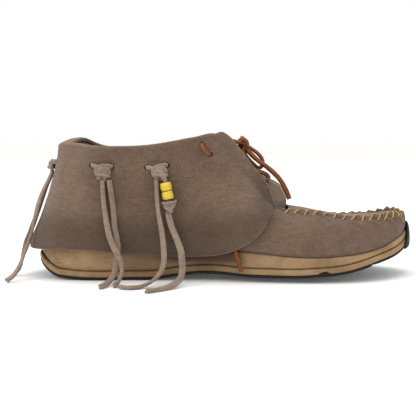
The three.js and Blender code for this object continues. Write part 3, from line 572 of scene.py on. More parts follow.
class Maker:
    """A piece under construction: shapes are added to it, then it becomes an object."""

    def __init__(self, name: str) -> None:
        """Starts an empty mesh with one UV map."""
        self.name = name
        self.mesh = bmesh.new()
        self.uv = self.mesh.loops.layers.uv.new("UVMap")

    def sheet(self, columns: int, rows: int, place: Place,
              paint: Callable[[float, float], tuple[float, float]] | None = None) -> None:
        """Adds a grid and moves each of its points to its place.

        Args:
            columns: faces along u.
            rows: faces along v.
            place: the point at u and v, in millimetres.
            paint: the UV at u and v, if it isn't u and v themselves.
        """
        made = bmesh.ops.create_grid(
            self.mesh, x_segments=columns, y_segments=rows, size=1, calc_uvs=True)
        verts = made["verts"]
        spots = {}
        for vert in verts:
            u = round((vert.co.x + 1) / 2 * columns) / columns
            v = round((vert.co.y + 1) / 2 * rows) / rows
            spots[vert] = (u, v)
            vert.co = place(u, v) * MM
        if paint:
            painted = {vert: paint(*spot) for vert, spot in spots.items()}
            for face in {face for vert in verts for face in vert.link_faces}:
                for loop in face.loops:
                    loop[self.uv].uv = painted[loop.vert]
        bmesh.ops.remove_doubles(self.mesh, verts=verts, dist=WELD)

    def sweep(self, route: Route, section: Section,
              grow: Callable[[float], float] = lambda share: 1.0) -> None:
        """Adds a strip along a route, with flat closed ends.

        Args:
            route: the line that it follows.
            section: its cross-section.
            grow: how full the section is at a share of the length.
        """
        last = len(route.points) - 1
        whole = [(k, 1.0) for k in range(last + 1)]
        marks = [(0, 0.0), (0, 0.82), *whole, (last, 0.82), (last, 0.0)]

        def place(u: float, v: float) -> Vector:
            """The strip's surface at a turn u and a share v of its rings."""
            k, full = marks[round(v * (len(marks) - 1))]
            across, out = section.corner(u)
            full *= grow(k / last)
            return route.points[k] + (route.sides[k] * across + route.normals[k] * out) * full

        def paint(u: float, v: float) -> tuple[float, float]:
            """Turn round the strip, and metres along it."""
            return u, route.length * MM * marks[round(v * (len(marks) - 1))][0] / last

        self.sheet(section.sides, len(marks) - 1, place, paint)

    def ball(self, size: Point, centre: Vector, turn: Matrix | None = None) -> None:
        """Adds an oval lump of half-sizes size, in millimetres."""
        made = bmesh.ops.create_uvsphere(self.mesh, u_segments=20, v_segments=12, radius=1)
        turned = turn or Matrix.Identity(3)
        for vert in made["verts"]:
            stretched = Vector(a * b for a, b in zip(vert.co, size))
            vert.co = (centre + turned @ stretched) * MM

    def done(self, closed: bool = True) -> bpy.types.Object:
        """Turns the mesh into an object at the origin.

        Args:
            closed: whether its faces are turned outwards first.

        Returns:
            The new object.
        """
        if closed:
            bmesh.ops.dissolve_degenerate(self.mesh, dist=WELD, edges=self.mesh.edges)
            bmesh.ops.recalc_face_normals(self.mesh, faces=self.mesh.faces)
        for face in self.mesh.faces:
            face.smooth = True
        data = bpy.data.meshes.new(self.name)
        self.mesh.to_mesh(data)
        self.mesh.free()
        piece = bpy.data.objects.new(self.name, data)
        bpy.context.scene.collection.objects.link(piece)
        return piece


def thicken(piece: bpy.types.Object, thickness: float) -> None:
    """Gives an open sheet a wall under its face, in millimetres."""
    wall = piece.modifiers.new("wall", "SOLIDIFY")
    wall.thickness = thickness * MM
    wall.offset = -1
    wall.use_even_offset = False


def dress(piece: bpy.types.Object, look: bpy.types.Material, slot: str,
          body: Body = Body.SHOE, replaced: Sequence[str] = ()) -> bpy.types.Object:
    """Finishes a piece: its material, the body it rides on and the nodes it stands for.

    Args:
        piece: the object.
        look: its material.
        slot: the record's material slot.
        body: the body that it moves with.
        replaced: the CAD nodes that it stands for.

    Returns:
        The same object.
    """
    piece.data.materials.append(look)
    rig.ride(piece, body.value)
    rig.slot(piece, slot)
    if replaced:
        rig.replaces(piece, *replaced)
    LOG.info("%s: %d faces", piece.name, len(piece.data.polygons))
    return piece


# ---------------------------------------------------------------- material kit
def srgb(red: float, green: float, blue: float) -> tuple[float, float, float, float]:
    """The linear colour of display values from 0 to 255."""
    linear = []
    for value in (red, green, blue):
        share = value / 255
        linear.append(share / 12.92 if share <= 0.04045 else ((share + 0.055) / 1.055) ** 2.4)
    return (*linear, 1.0)


class Wire:
    """An output inside a material; arithmetic on it adds Math nodes."""

    def __init__(self, kit: "Shader", socket: bpy.types.NodeSocket) -> None:
        """Keeps the socket and the material that it belongs to."""
        self.kit = kit
        self.socket = socket

    def math(self, operation: str, *values) -> "Wire":
        """A Math node on the given values, clamped nowhere."""
        return self.kit.node("ShaderNodeMath", {"operation": operation}, dict(enumerate(values)))

    def __add__(self, other) -> "Wire":
        """Sum."""
        return self.math("ADD", self, other)

    def __radd__(self, other) -> "Wire":
        """Sum, reflected."""
        return self.math("ADD", other, self)

    def __sub__(self, other) -> "Wire":
        """Difference."""
        return self.math("SUBTRACT", self, other)

    def __rsub__(self, other) -> "Wire":
        """Difference, reflected."""
        return self.math("SUBTRACT", other, self)

    def __mul__(self, other) -> "Wire":
        """Product."""
        return self.math("MULTIPLY", self, other)

    def __rmul__(self, other) -> "Wire":
        """Product, reflected."""
        return self.math("MULTIPLY", other, self)

    def sine(self) -> "Wire":
        """Sine of an angle in radians."""
        return self.math("SINE", self)

    def fraction(self) -> "Wire":
        """What is left over the whole number."""
        return self.math("FRACT", self)

    def square(self) -> "Wire":
        """The value times itself."""
        return self.math("MULTIPLY", self, self)

    def gate(self, start: float, stop: float) -> "Wire":
        """Rises smoothly from 0 at start to 1 at stop."""
        settings = {"interpolation_type": "SMOOTHSTEP"}
        inputs = {"Value": self, "From Min": start, "From Max": stop}
        return self.kit.node("ShaderNodeMapRange", settings, inputs)


class Shader:
    """One material's node tree, with short ways to add to it."""

    def __init__(self, name: str, constants: dict[str, float]) -> None:
        """Makes the material and sets the shader's own sockets."""
        self.material = bpy.data.materials.new(name)
        self.material.use_nodes = True
        self.tree = self.material.node_tree
        self.surface = self.tree.nodes["Principled BSDF"]
        for socket, value in constants.items():
            self.surface.inputs[socket].default_value = value

    def node(self, kind: str, settings: dict | None = None, inputs: dict | None = None,
             output: int | str = 0) -> Wire:
        """Adds a node.

        Args:
            kind: the node's type.
            settings: its properties, set first.
            inputs: values or wires by socket name or number.
            output: the output to return.

        Returns:
            The wanted output.
        """
        made = self.tree.nodes.new(kind)
        for key, value in (settings or {}).items():
            setattr(made, key, value)
        for key, value in (inputs or {}).items():
            if isinstance(value, Wire):
                self.tree.links.new(value.socket, made.inputs[key])
            else:
                made.inputs[key].default_value = value
        return Wire(self, made.outputs[output])

    def place(self) -> Wire:
        """Object coordinates, in metres."""
        return self.node("ShaderNodeTexCoord", output="Object")

    def axis(self, source: Wire, name: str) -> Wire:
        """One axis of a vector."""
        return self.node("ShaderNodeSeparateXYZ", inputs={"Vector": source}, output=name)

    def strokes(self) -> Wire:
        """The piece's own UV map."""
        return self.node("ShaderNodeTexCoord", output="UV")

    def stretched(self, source: Wire, scale: Point, turn: Point = (0, 0, 0)) -> Wire:
        """A vector scaled and turned."""
        return self.node("ShaderNodeMapping", inputs={
            "Vector": source, "Scale": scale, "Rotation": turn})

    def cloud(self, source: Wire, scale: float, detail: float = 2, rough: float = 0.5) -> Wire:
        """Noise from 0 to 1, at a scale per metre."""
        return self.node("ShaderNodeTexNoise", inputs={
            "Vector": source, "Scale": scale, "Detail": detail, "Roughness": rough})

    def cells(self, source: Wire, scale: float) -> Wire:
        """Distance to the nearest of scattered points."""
        return self.node("ShaderNodeTexVoronoi", inputs={"Vector": source, "Scale": scale})

    def blend(self, share: Wire | float, first, second) -> Wire:
        """A colour a share of the way from the first to the second."""
        return self.node("ShaderNodeMix", {"data_type": "RGBA"}, {0: share, 6: first, 7: second}, 2)

    def finish(self, colour: Wire, height: Wire, depth: float, rough: Wire | None = None,
               strength: float = 0.6) -> bpy.types.Material:
        """Joins the colour, the bump and the roughness to the surface.

        Args:
            colour: the base colour.
            height: bump height from 0 to 1.
            depth: the bump's size in metres.
            rough: roughness, where it varies.
            strength: how strong the bump is.

        Returns:
            The finished material.
        """
        bump = self.node("ShaderNodeBump", inputs={
            "Height": height, "Distance": depth, "Strength": strength})
        self.tree.links.new(colour.socket, self.surface.inputs["Base Color"])
        self.tree.links.new(bump.socket, self.surface.inputs["Normal"])
        if rough:
            self.tree.links.new(rough.socket, self.surface.inputs["Roughness"])
        return self.material


# ---------------------------------------------------------------- finishes
# Colours of the painted shade inside needle holes, of scuffs, of specks, and of the painted shade on the foam's waist.
NEEDLE_HOLE_SHADE, SCUFF, SPECK, SHADE = (48, 34, 24), (112, 86, 60), (70, 52, 38), (58, 37, 20)


@dataclass(frozen=True)
class Suede:
    """Napped leather: a fine speckled nap over faint brushed patches."""

    name: str
    dark: Point
    light: Point
    grain: float = 1250
    # edge: painted shade over the middle of the cuff, and a darker worn rim along its cut edges
    edge: bool = False
    # holes: needle holes, dented by the bump and painted dark as shade inside each hole
    holes: bool = False

    def material(self) -> bpy.types.Material:
        """Builds the finish."""
        kit = Shader(self.name, {"Roughness": 0.95, "Sheen Weight": 0.12, "Sheen Roughness": 0.5,
                                 "Specular IOR Level": 0.12})
        spot = kit.place()
        grain = kit.cloud(spot, self.grain, 3, 0.7)
        fibre = kit.cloud(spot, self.grain * 2.3, 1)
        patch = kit.cloud(spot, 30, 3, 0.55)
        brushed = kit.cloud(kit.stretched(spot, (1, 1, 2.4), (0, 0.5, 0.3)), 160, 2)
        tone = (grain - 0.5) * 1.1 + (fibre - 0.5) * 0.6 + (patch - 0.5) * 0.45
        tone = tone + (brushed - 0.5) * 0.35 + 0.5
        if self.edge:
            # painted shade: the middle of the piece, between the heel and the front, is darkened
            ahead = kit.axis(spot, "X")
            tone = tone - ahead.gate(-0.115, -0.07) * (1 - ahead.gate(-0.02, 0.03)) * 0.16
        colour = kit.blend(tone.gate(0.0, 1.0), srgb(*self.dark), srgb(*self.light))
        height = grain * 0.7 + fibre * 0.5 + brushed * 0.6
        if self.holes:
            track = kit.strokes()
            far = ((kit.axis(track, "X").fraction() - 0.5) * 7.2).square()
            near = (kit.axis(track, "Y") - 3.4).square()
            # needle holes: a dent in the bump, and painted shade darkening the inside of each hole
            hole = 1 - (far + near).gate(0.1, 0.5)
            colour = kit.blend(hole * 0.75, colour, srgb(*NEEDLE_HOLE_SHADE))
            height = height - hole * 1.6
        if self.edge:
            rim = kit.axis(kit.strokes(), "Y")
            worn = (1 - rim.gate(0.012, 0.03)) * 0.5
            colour = kit.blend(worn, colour, srgb(*(value * 0.72 for value in self.dark)))
        return kit.finish(colour, height, 0.0005, strength=0.55)


@dataclass(frozen=True)
class Hide:
    """Smooth leather with fine pores; as a strip, one flat face is painted lighter and the other darker, as light and
    shade.
    """

    name: str
    dark: Point
    light: Point
    rough: float = 0.5
    strip: bool = False

    def material(self) -> bpy.types.Material:
        """Builds the finish."""
        kit = Shader(self.name, {"Specular IOR Level": 0.35})
        spot = kit.place()
        pores = kit.cells(spot, 900)
        patch = kit.cloud(spot, 90, 4, 0.6)
        tone = (patch - 0.5) * 1.1 + (pores - 0.4) * 0.35 + 0.5
        if self.strip:
            turn = kit.axis(kit.strokes(), "X")
            along = kit.axis(kit.strokes(), "Y")
            # painted light and shade: one flat face of the strip lighter, the other darker, wavering along it
            band = ((turn * math.tau) + (along * 60).sine() * 0.35).sine()
            tone = tone + band * 0.28
            length = kit.node("ShaderNodeCombineXYZ", inputs={
                "X": turn * 4, "Y": along * 60, "Z": 0.0})
            tone = tone + (kit.cloud(length, 3, 2) - 0.5) * 0.7
        colour = kit.blend(tone.gate(0.0, 1.0), srgb(*self.dark), srgb(*self.light))
        rough = (patch - 0.5) * 0.25 + self.rough
        return kit.finish(colour, pores * 0.5 + patch, 0.0003, rough)


@dataclass(frozen=True)
class Foam:
    """Moulded foam: matte and tan, with scuffs, specks and painted shade over the upper part of its waist."""

    name: str
    dark: Point
    light: Point
    # strength of the scuffs and specks, and of the painted shade over the waist
    grime: float = 1.0

    def material(self) -> bpy.types.Material:
        """Builds the finish."""
        kit = Shader(self.name, {"Roughness": 0.62, "Specular IOR Level": 0.3})
        spot = kit.place()
        patch = kit.cloud(spot, 45, 4, 0.6)
        speck = kit.cloud(kit.stretched(spot, (1, 1, 2)), 420, 3, 0.7)
        scuff = kit.cloud(kit.stretched(spot, (0.5, 0.5, 2.2), (0, 0.12, 0)), 240, 4, 0.7)
        colour = kit.blend(patch.gate(0.3, 0.7), srgb(*self.dark), srgb(*self.light))
        heel = 1 - kit.axis(spot, "X").gate(-0.13, -0.02)
        mark = scuff.gate(0.56, 0.68) * (heel * 0.6 + 0.25) * self.grime
        colour = kit.blend(mark, colour, srgb(*SCUFF))
        colour = kit.blend(speck.gate(0.66, 0.72) * 0.6 * self.grime, colour, srgb(*SPECK))
        # painted shade: the upper part of the waist is darkened towards the shade colour
        ahead = kit.axis(spot, "X")
        waist_shade = ahead.gate(-0.068, -0.03) * (1 - ahead.gate(0.004, 0.03))
        upper = kit.axis(spot, "Z").gate(0.0115, 0.0165)
        colour = kit.blend(waist_shade * (upper * 0.5 + 0.4) * self.grime, colour, srgb(*SHADE))
        fine = kit.cloud(spot, 1500, 2)
        return kit.finish(colour, patch * 0.3 + fine * 0.3 - mark * 0.5, 0.0003, strength=0.4)


@dataclass(frozen=True)
class Rubber:
    """Black moulded rubber, dusty and a little worn."""

    name: str
    dark: Point
    light: Point

    def material(self) -> bpy.types.Material:
        """Builds the finish."""
        kit = Shader(self.name, {"Specular IOR Level": 0.3})
        spot = kit.place()
        dust = kit.cloud(spot, 130, 5, 0.65)
        fine = kit.cloud(spot, 1600, 2)
        colour = kit.blend(dust.gate(0.45, 0.75), srgb(*self.dark), srgb(*self.light))
        return kit.finish(colour, fine * 0.6 + dust * 0.4, 0.0002, (dust - 0.5) * 0.3 + 0.62)


@dataclass(frozen=True)
class Yarn:
    """Twisted thread, its plies winding round it."""

    name: str
    dark: Point
    light: Point

    def material(self) -> bpy.types.Material:
        """Builds the finish."""
        kit = Shader(self.name, {"Roughness": 0.7, "Specular IOR Level": 0.3})
        track = kit.strokes()
        wind = (kit.axis(track, "X") * math.tau * 2 + kit.axis(track, "Y") * 5200).sine()
        fluff = kit.cloud(kit.place(), 1400, 2)
        tone = wind * 0.28 + (fluff - 0.5) * 0.8 + 0.55
        colour = kit.blend(tone.gate(0.0, 1.0), srgb(*self.dark), srgb(*self.light))
        return kit.finish(colour, wind * 0.5 + fluff * 0.4, 0.0004)


@dataclass(frozen=True)
class Gloss:
    """An opaque moulded bead: even colour, soft gloss and faint swirls."""

    name: str
    dark: Point
    light: Point

    def material(self) -> bpy.types.Material:
        """Builds the finish."""
        kit = Shader(self.name, {"Coat Weight": 0.3, "Coat Roughness": 0.15,
                                 "Subsurface Weight": 0.0})
        spot = kit.place()
        swirl = kit.cloud(kit.stretched(spot, (1, 1, 3)), 160, 2)
        colour = kit.blend(swirl.gate(0.3, 0.75), srgb(*self.dark), srgb(*self.light))
        return kit.finish(colour, swirl, 0.0002, (swirl - 0.5) * 0.2 + 0.32, 0.3)


class Looks:
    """Every finish, made once."""

    def __init__(self) -> None:
        """Builds the materials that the pieces share."""
        self.suede = Suede("taupe_suede", (76, 61, 50), (126, 105, 90)).material()
        # the cuff's suede takes painted shade over its middle
        self.cuff = Suede("cuff_suede", (82, 66, 54), (134, 113, 97), edge=True).material()
        self.plug = Suede("plug_suede", (92, 74, 61), (138, 116, 99), holes=True).material()
        self.thong = Suede("thong_suede", (96, 80, 68), (166, 146, 129), 1100).material()
        # a darker suede for the painted shade inside the thong knots
        self.core = Suede("knot_shadow_suede", (50, 39, 31), (84, 68, 56)).material()
        self.lining = Hide("brown_lining", (84, 52, 30), (128, 84, 52), 0.6).material()
        # the lace's faces carry painted light and shade
        self.lace = Hide("waxed_lace", (56, 27, 4), (124, 66, 16), 0.5, strip=True).material()
        self.lace_cut = Hide("lace_cut_end", (170, 116, 70), (204, 150, 100), 0.7).material()
        self.foam = Foam("cream_foam", (126, 99, 70), (158, 128, 94)).material()
        self.inner_foam = Foam("footbed_foam", (190, 164, 128), (212, 188, 152), 0.0).material()
        self.rubber = Rubber("black_rubber", (9, 9, 8), (28, 26, 24)).material()
        self.thread = Yarn("gold_thread", (132, 96, 48), (208, 166, 100)).material()
        self.pale_thread = Yarn("pale_thread", (178, 160, 138), (226, 214, 196)).material()
        self.bead = Gloss("yellow_bead", (192, 160, 30), (220, 188, 52)).material()


# ---------------------------------------------------------------- cord routes
THONG_ROUTES: dict[str, tuple[Point, ...]] = {
    "rear_outer_strand_a": (
        (-88.4, -41.5, 76.2), (-87.4, -43.5, 61.2), (-86.1, -45, 52), (-84.5, -47, 43.3),
        (-82.1, -49.5, 33.8), (-78.8, -52, 26.8), (-75.9, -53.5, 22), (-74, -54.5, 17.3),
        (-72.9, -56, 12.7), (-73.1, -59, 8.3), (-74.6, -63, 4.4), (-77.2, -69, 1.8),
    ),
    "rear_outer_strand_b": (
        (-83.3, -41, 76.2), (-81.1, -42, 61.4), (-80, -43, 51.8), (-79.5, -44, 43),
        (-77.6, -45.7, 33.3), (-76.7, -46.8, 26.3), (-77.4, -48, 19), (-78.1, -50, 14.2),
        (-78.4, -53, 9.7), (-80.1, -57.5, 5.5), (-83.2, -64.6, 2.6), (-86.8, -74, 1.8),
    ),
    "mid_outer_strand_a": (
        (-48.4, -41.5, 76.2), (-47.7, -43.5, 61.2), (-46.7, -45, 52), (-45, -46.5, 43.3),
        (-43.7, -48, 36), (-42.7, -49.5, 26.4), (-42.3, -51, 19.2), (-42.8, -53, 14.6),
        (-44.8, -57, 9.4), (-48.4, -61.5, 5.8), (-52.9, -66.5, 3), (-58.8, -72, 1.8),
        (-64.1, -75, 1.8), (-69.4, -74, 1.8), (-73.2, -71.4, 1.8),
    ),
    "mid_outer_strand_b": (
        (-39.3, -42.5, 53.4), (-39, -43.4, 49.6), (-37.4, -45, 43.1), (-34.4, -47, 35.9),
        (-32, -48.5, 30.2), (-29.9, -50, 24.1), (-29.2, -52, 18.4), (-28.6, -56, 12.7),
        (-29.6, -62, 7.3), (-32.4, -67.5, 4), (-36.7, -73.4, 2.4), (-42.2, -79, 1.8),
        (-47.1, -84, 1.8), (-52.7, -89.6, 1.8),
    ),
    "heel_strand_a": (
        (-132.2, -1.5, 80.2), (-134.4, -2.5, 75), (-137.2, -4, 69), (-139.9, -7, 62),
        (-142.2, -10, 54.1), (-143.8, -14, 45.2), (-145.6, -19, 34.8), (-147.8, -25, 25.6),
        (-150.2, -31, 17.2), (-152.4, -37, 10.1), (-155.2, -43, 5), (-159.2, -47.5, 1.8),
    ),
    "heel_strand_b": (
        (-132.2, 3.5, 80.2), (-135, 4, 75), (-138.4, 4.3, 68), (-141.5, 4, 59.3), (-145, 3, 49),
        (-147.8, 1, 40.2), (-150.4, -2, 32.4), (-152.6, -5, 25.9), (-153.9, -8, 19.5),
        (-155, -11, 13.2), (-155.8, -13.5, 8), (-157.5, -14.5, 4), (-160.4, -14, 1.8),
    ),
    "rear_inner_strand_a": (
        (-88.6, 39, 76.2), (-87.8, 41, 61), (-86.4, 43, 50), (-85, 45.4, 38), (-84, 47.6, 27),
        (-83.6, 50, 17), (-84.6, 53, 9), (-87, 57.5, 4), (-90, 64, 1.8), (-92, 70, 1.8),
    ),
    "rear_inner_strand_b": (
        (-83.2, 39, 76.2), (-82, 40.6, 61), (-80.4, 42.6, 50), (-78.4, 45, 38), (-76.8, 47.2, 27),
        (-76, 49.6, 17), (-75.4, 53, 9), (-75.6, 58, 4), (-78, 64, 1.8), (-82, 68, 1.8),
    ),
    "mid_inner_strand_a": (
        (-48.4, 38, 76.2), (-48, 39.6, 61), (-47, 41.4, 50), (-46, 43.6, 38), (-45.2, 45.6, 27),
        (-45, 48, 17), (-46, 51.6, 9), (-49, 56, 4), (-54, 61, 1.8), (-59, 63, 1.8),
    ),
    "mid_inner_strand_b": (
        (-43, 38, 76.2), (-41.4, 39.6, 61), (-39.4, 41.4, 50), (-37, 43.6, 38), (-35.2, 45.6, 27),
        (-34.6, 48, 17), (-35.4, 52, 9), (-37.6, 57, 4), (-41, 63, 1.8), (-43, 70, 1.8),
    ),
}
LACE_ROUTES: dict[str, tuple[Point, ...]] = {
    "lace_run_outer": (
        (-12.6, -31.4, 101.6), (-9, -31.2, 102.4), (-4.5, -30.8, 103.4), (0, -30, 104.4),
        (4.6, -28.6, 105), (8.6, -25.4, 105.2), (11.2, -20, 104.6), (13, -14, 104),
        (14.4, -10, 103.2),
    ),
    "lace_run_inner": (
        (-12.6, 29.5, 97.6), (-9, 29.6, 98.4), (-4.5, 29.5, 99.4), (0, 29, 100.4),
        (4.6, 27.4, 101.4), (9, 23.4, 102.6), (12, 17, 103), (14, 9, 103), (15, 3, 102.8),
    ),
    "lace_tail_outer": (
        (-8.4, -33.3, 92.2), (-7.5, -34.1, 88), (-5.5, -35.8, 79.6), (-3, -37.5, 70),
        (-0.3, -39.1, 61.2), (2.3, -40.6, 52), (4.8, -41.9, 42.9), (7.7, -43.1, 32.1),
        (9.8, -43.9, 25), (12.2, -46.4, 17), (14.6, -48.6, 8.6),
    ),
    "lace_tail_inner": (
        (-8.4, 30.8, 88.4), (-7.5, 31.4, 84), (-5.5, 32.5, 76), (-3, 33.6, 68), (-0.3, 34.8, 60),
        (2.3, 36, 51), (4.8, 37, 42), (7.7, 38, 32), (9.8, 38.8, 25), (12.2, 41.2, 17),
        (14.6, 43.4, 8.6),
    ),
    "lace_end_long": (
        (19.6, -7.4, 98.4), (21.6, -8, 96.4), (25.4, -8.5, 92.4), (30.4, -9, 88.2),
        (35.4, -9, 84.7), (40.8, -9, 80.1), (45.4, -9, 75.2), (48.9, -9, 69.8), (51.4, -9, 64.8),
        (53.4, -9, 59.6),
    ),
    "lace_loop_upper": (
        (20.9, -3.4, 100.4), (22.9, -1.5, 99.2), (25.3, 0, 97.6), (28.5, 2, 95.2), (31.5, 4, 92.1),
        (33.2, 5, 88.9), (33.3, 6, 85.9), (31.6, 6.2, 83.4), (28.8, 6.2, 83.4), (25.6, 6, 86.2),
        (22.4, 5, 89.4), (19.9, 3, 92.6), (18.4, 0, 96.4),
    ),
    "lace_loop_lower": (
        (16.4, -9, 98.2), (17.4, -11.6, 93.6), (19.6, -13.4, 89.4), (23.9, -14, 83.9),
        (28.6, -12, 81.3), (32.3, -9, 80), (35.6, -6.4, 78.2), (37, -7.4, 76.6), (36.4, -11, 75),
        (33.5, -15.4, 74.2), (29.2, -17, 76.4), (22.2, -18, 82.5), (16.9, -16.4, 89.6),
        (14.6, -11.8, 95.4), (13.6, -9, 98.2),
    ),
}


# ---------------------------------------------------------------- free thongs and laces
@dataclass(frozen=True)
class Strand:
    """A free length of thong or lace: where it runs and how it turns."""

    name: str
    facing: Point
    width: float
    thickness: float
    twists: tuple
    far_end: FarEnd = FarEnd.BARE
    lay: Lay = Lay.LOOSE
    square: float = 0.55


@dataclass
class Cords:
    """Every free cord on the shoe."""

    looks: Looks
    thongs: tuple[Strand, ...] = (
        Strand("rear_outer_strand_a", (-0.5, -1, 0), 4.6, 2.5,
               ((0, 35), (0.3, 20), (0.55, -10), (0.75, 30), (1, 80))),
        Strand("rear_outer_strand_b", (0.4, -1, 0), 4.4, 2.4,
               ((0, -30), (0.4, -10), (0.7, 30), (1, -40))),
        Strand("mid_outer_strand_a", (-0.5, -1, 0), 4.4, 2.5,
               ((0, 40), (0.3, 30), (0.6, 5), (0.8, 40), (1, 10))),
        Strand("mid_outer_strand_b", (0.2, -1, 0), 4.8, 2.6,
               ((0, -10), (0.3, 10), (0.6, -20), (0.85, 30), (1, 70))),
        Strand("heel_strand_a", (-1, -0.8, 0), 4.4, 2.4,
               ((0, 20), (0.35, 0), (0.6, 50), (0.8, 10), (1, -30))),
        Strand("heel_strand_b", (-1, 0.6, 0), 4.2, 2.3, ((0, -20), (0.5, 20), (1, -40))),
        Strand("rear_inner_strand_a", (0, 1, 0), 4.4, 2.4, ((0, -30), (0.5, 10), (1, 60))),
        Strand("rear_inner_strand_b", (0, 1, 0), 4.4, 2.4, ((0, 30), (0.5, -10), (1, -50))),
        Strand("mid_inner_strand_a", (0, 1, 0), 4.4, 2.4, ((0, -20), (0.5, 20), (1, 50))),
        Strand("mid_inner_strand_b", (0, 1, 0), 4.4, 2.4, ((0, 20), (0.6, -20), (1, -60))),
    )
    laces: tuple[Strand, ...] = (
        Strand("lace_run_outer", (0, 0, 1), 3.6, 2.2, ((0, 0), (1, 30)), FarEnd.OBJECT),
        Strand("lace_run_inner", (0, 0, 1), 3.6, 2.2, ((0, 0), (1, -30)), FarEnd.OBJECT),
        Strand("lace_tail_outer", (0, -1, 0), 3.0, 2.0, ((0, 0), (0.5, 20), (1, -40)),
               lay=Lay.HANGING),
        Strand("lace_tail_inner", (0, 1, 0), 3.0, 2.0, ((0, 0), (0.5, -20), (1, 30)),
               lay=Lay.HANGING),
        Strand("lace_end_long", (0.4, -1, 0.6), 3.6, 2.6,
               ((0, 10), (0.35, -15), (0.7, 20), (1, 5))),
        Strand("lace_loop_upper", (0.5, -0.6, 1), 3.4, 2.3,
               ((0, 0), (0.4, 30), (0.7, 70), (1, 30)), FarEnd.OBJECT),
        Strand("lace_loop_lower", (-0.4, -1, 0.4), 3.4, 2.3,
               ((0, 0), (0.3, -50), (0.5, 20), (0.8, 60), (1, 20)), FarEnd.OBJECT),
    )
    step: float = 1.2

    def lay(self, strand: Strand, points: Sequence[Point], look: bpy.types.Material,
            slot: str) -> None:
        route = Route([Vector(point) for point in points], self.step, Vector(strand.facing),
                      strand.twists)
        maker = Maker(strand.name + "_cord")
        seed = len(strand.name) + strand.width
        maker.sweep(route, Section(strand.width, strand.thickness, strand.square),
                    lambda share: 1 + 0.09 * noise.noise(Vector((share * 9, seed, 0.3))))
        for vert in maker.mesh.verts:
            vert.co.z = max(vert.co.z, 1e-4)
        piece = maker.done()
        dress(piece, look, slot, Body.SHOE, [strand.name])
        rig.cord(piece, exit=route.points[0] * MM, length=route.length * MM,
                diameter=strand.width * MM, far_end=strand.far_end.value, stiffness="limp",
                lay=strand.lay.value, path=[point * MM for point in route.points])

    def build(self) -> None:
        """Makes the thongs' ends and then the lace's."""
        for strand in self.thongs:
            self.lay(strand, THONG_ROUTES[strand.name], self.looks.thong, "thong_suede")
        for strand in self.laces:
            self.lay(strand, LACE_ROUTES[strand.name], self.looks.lace, "lace_hide")


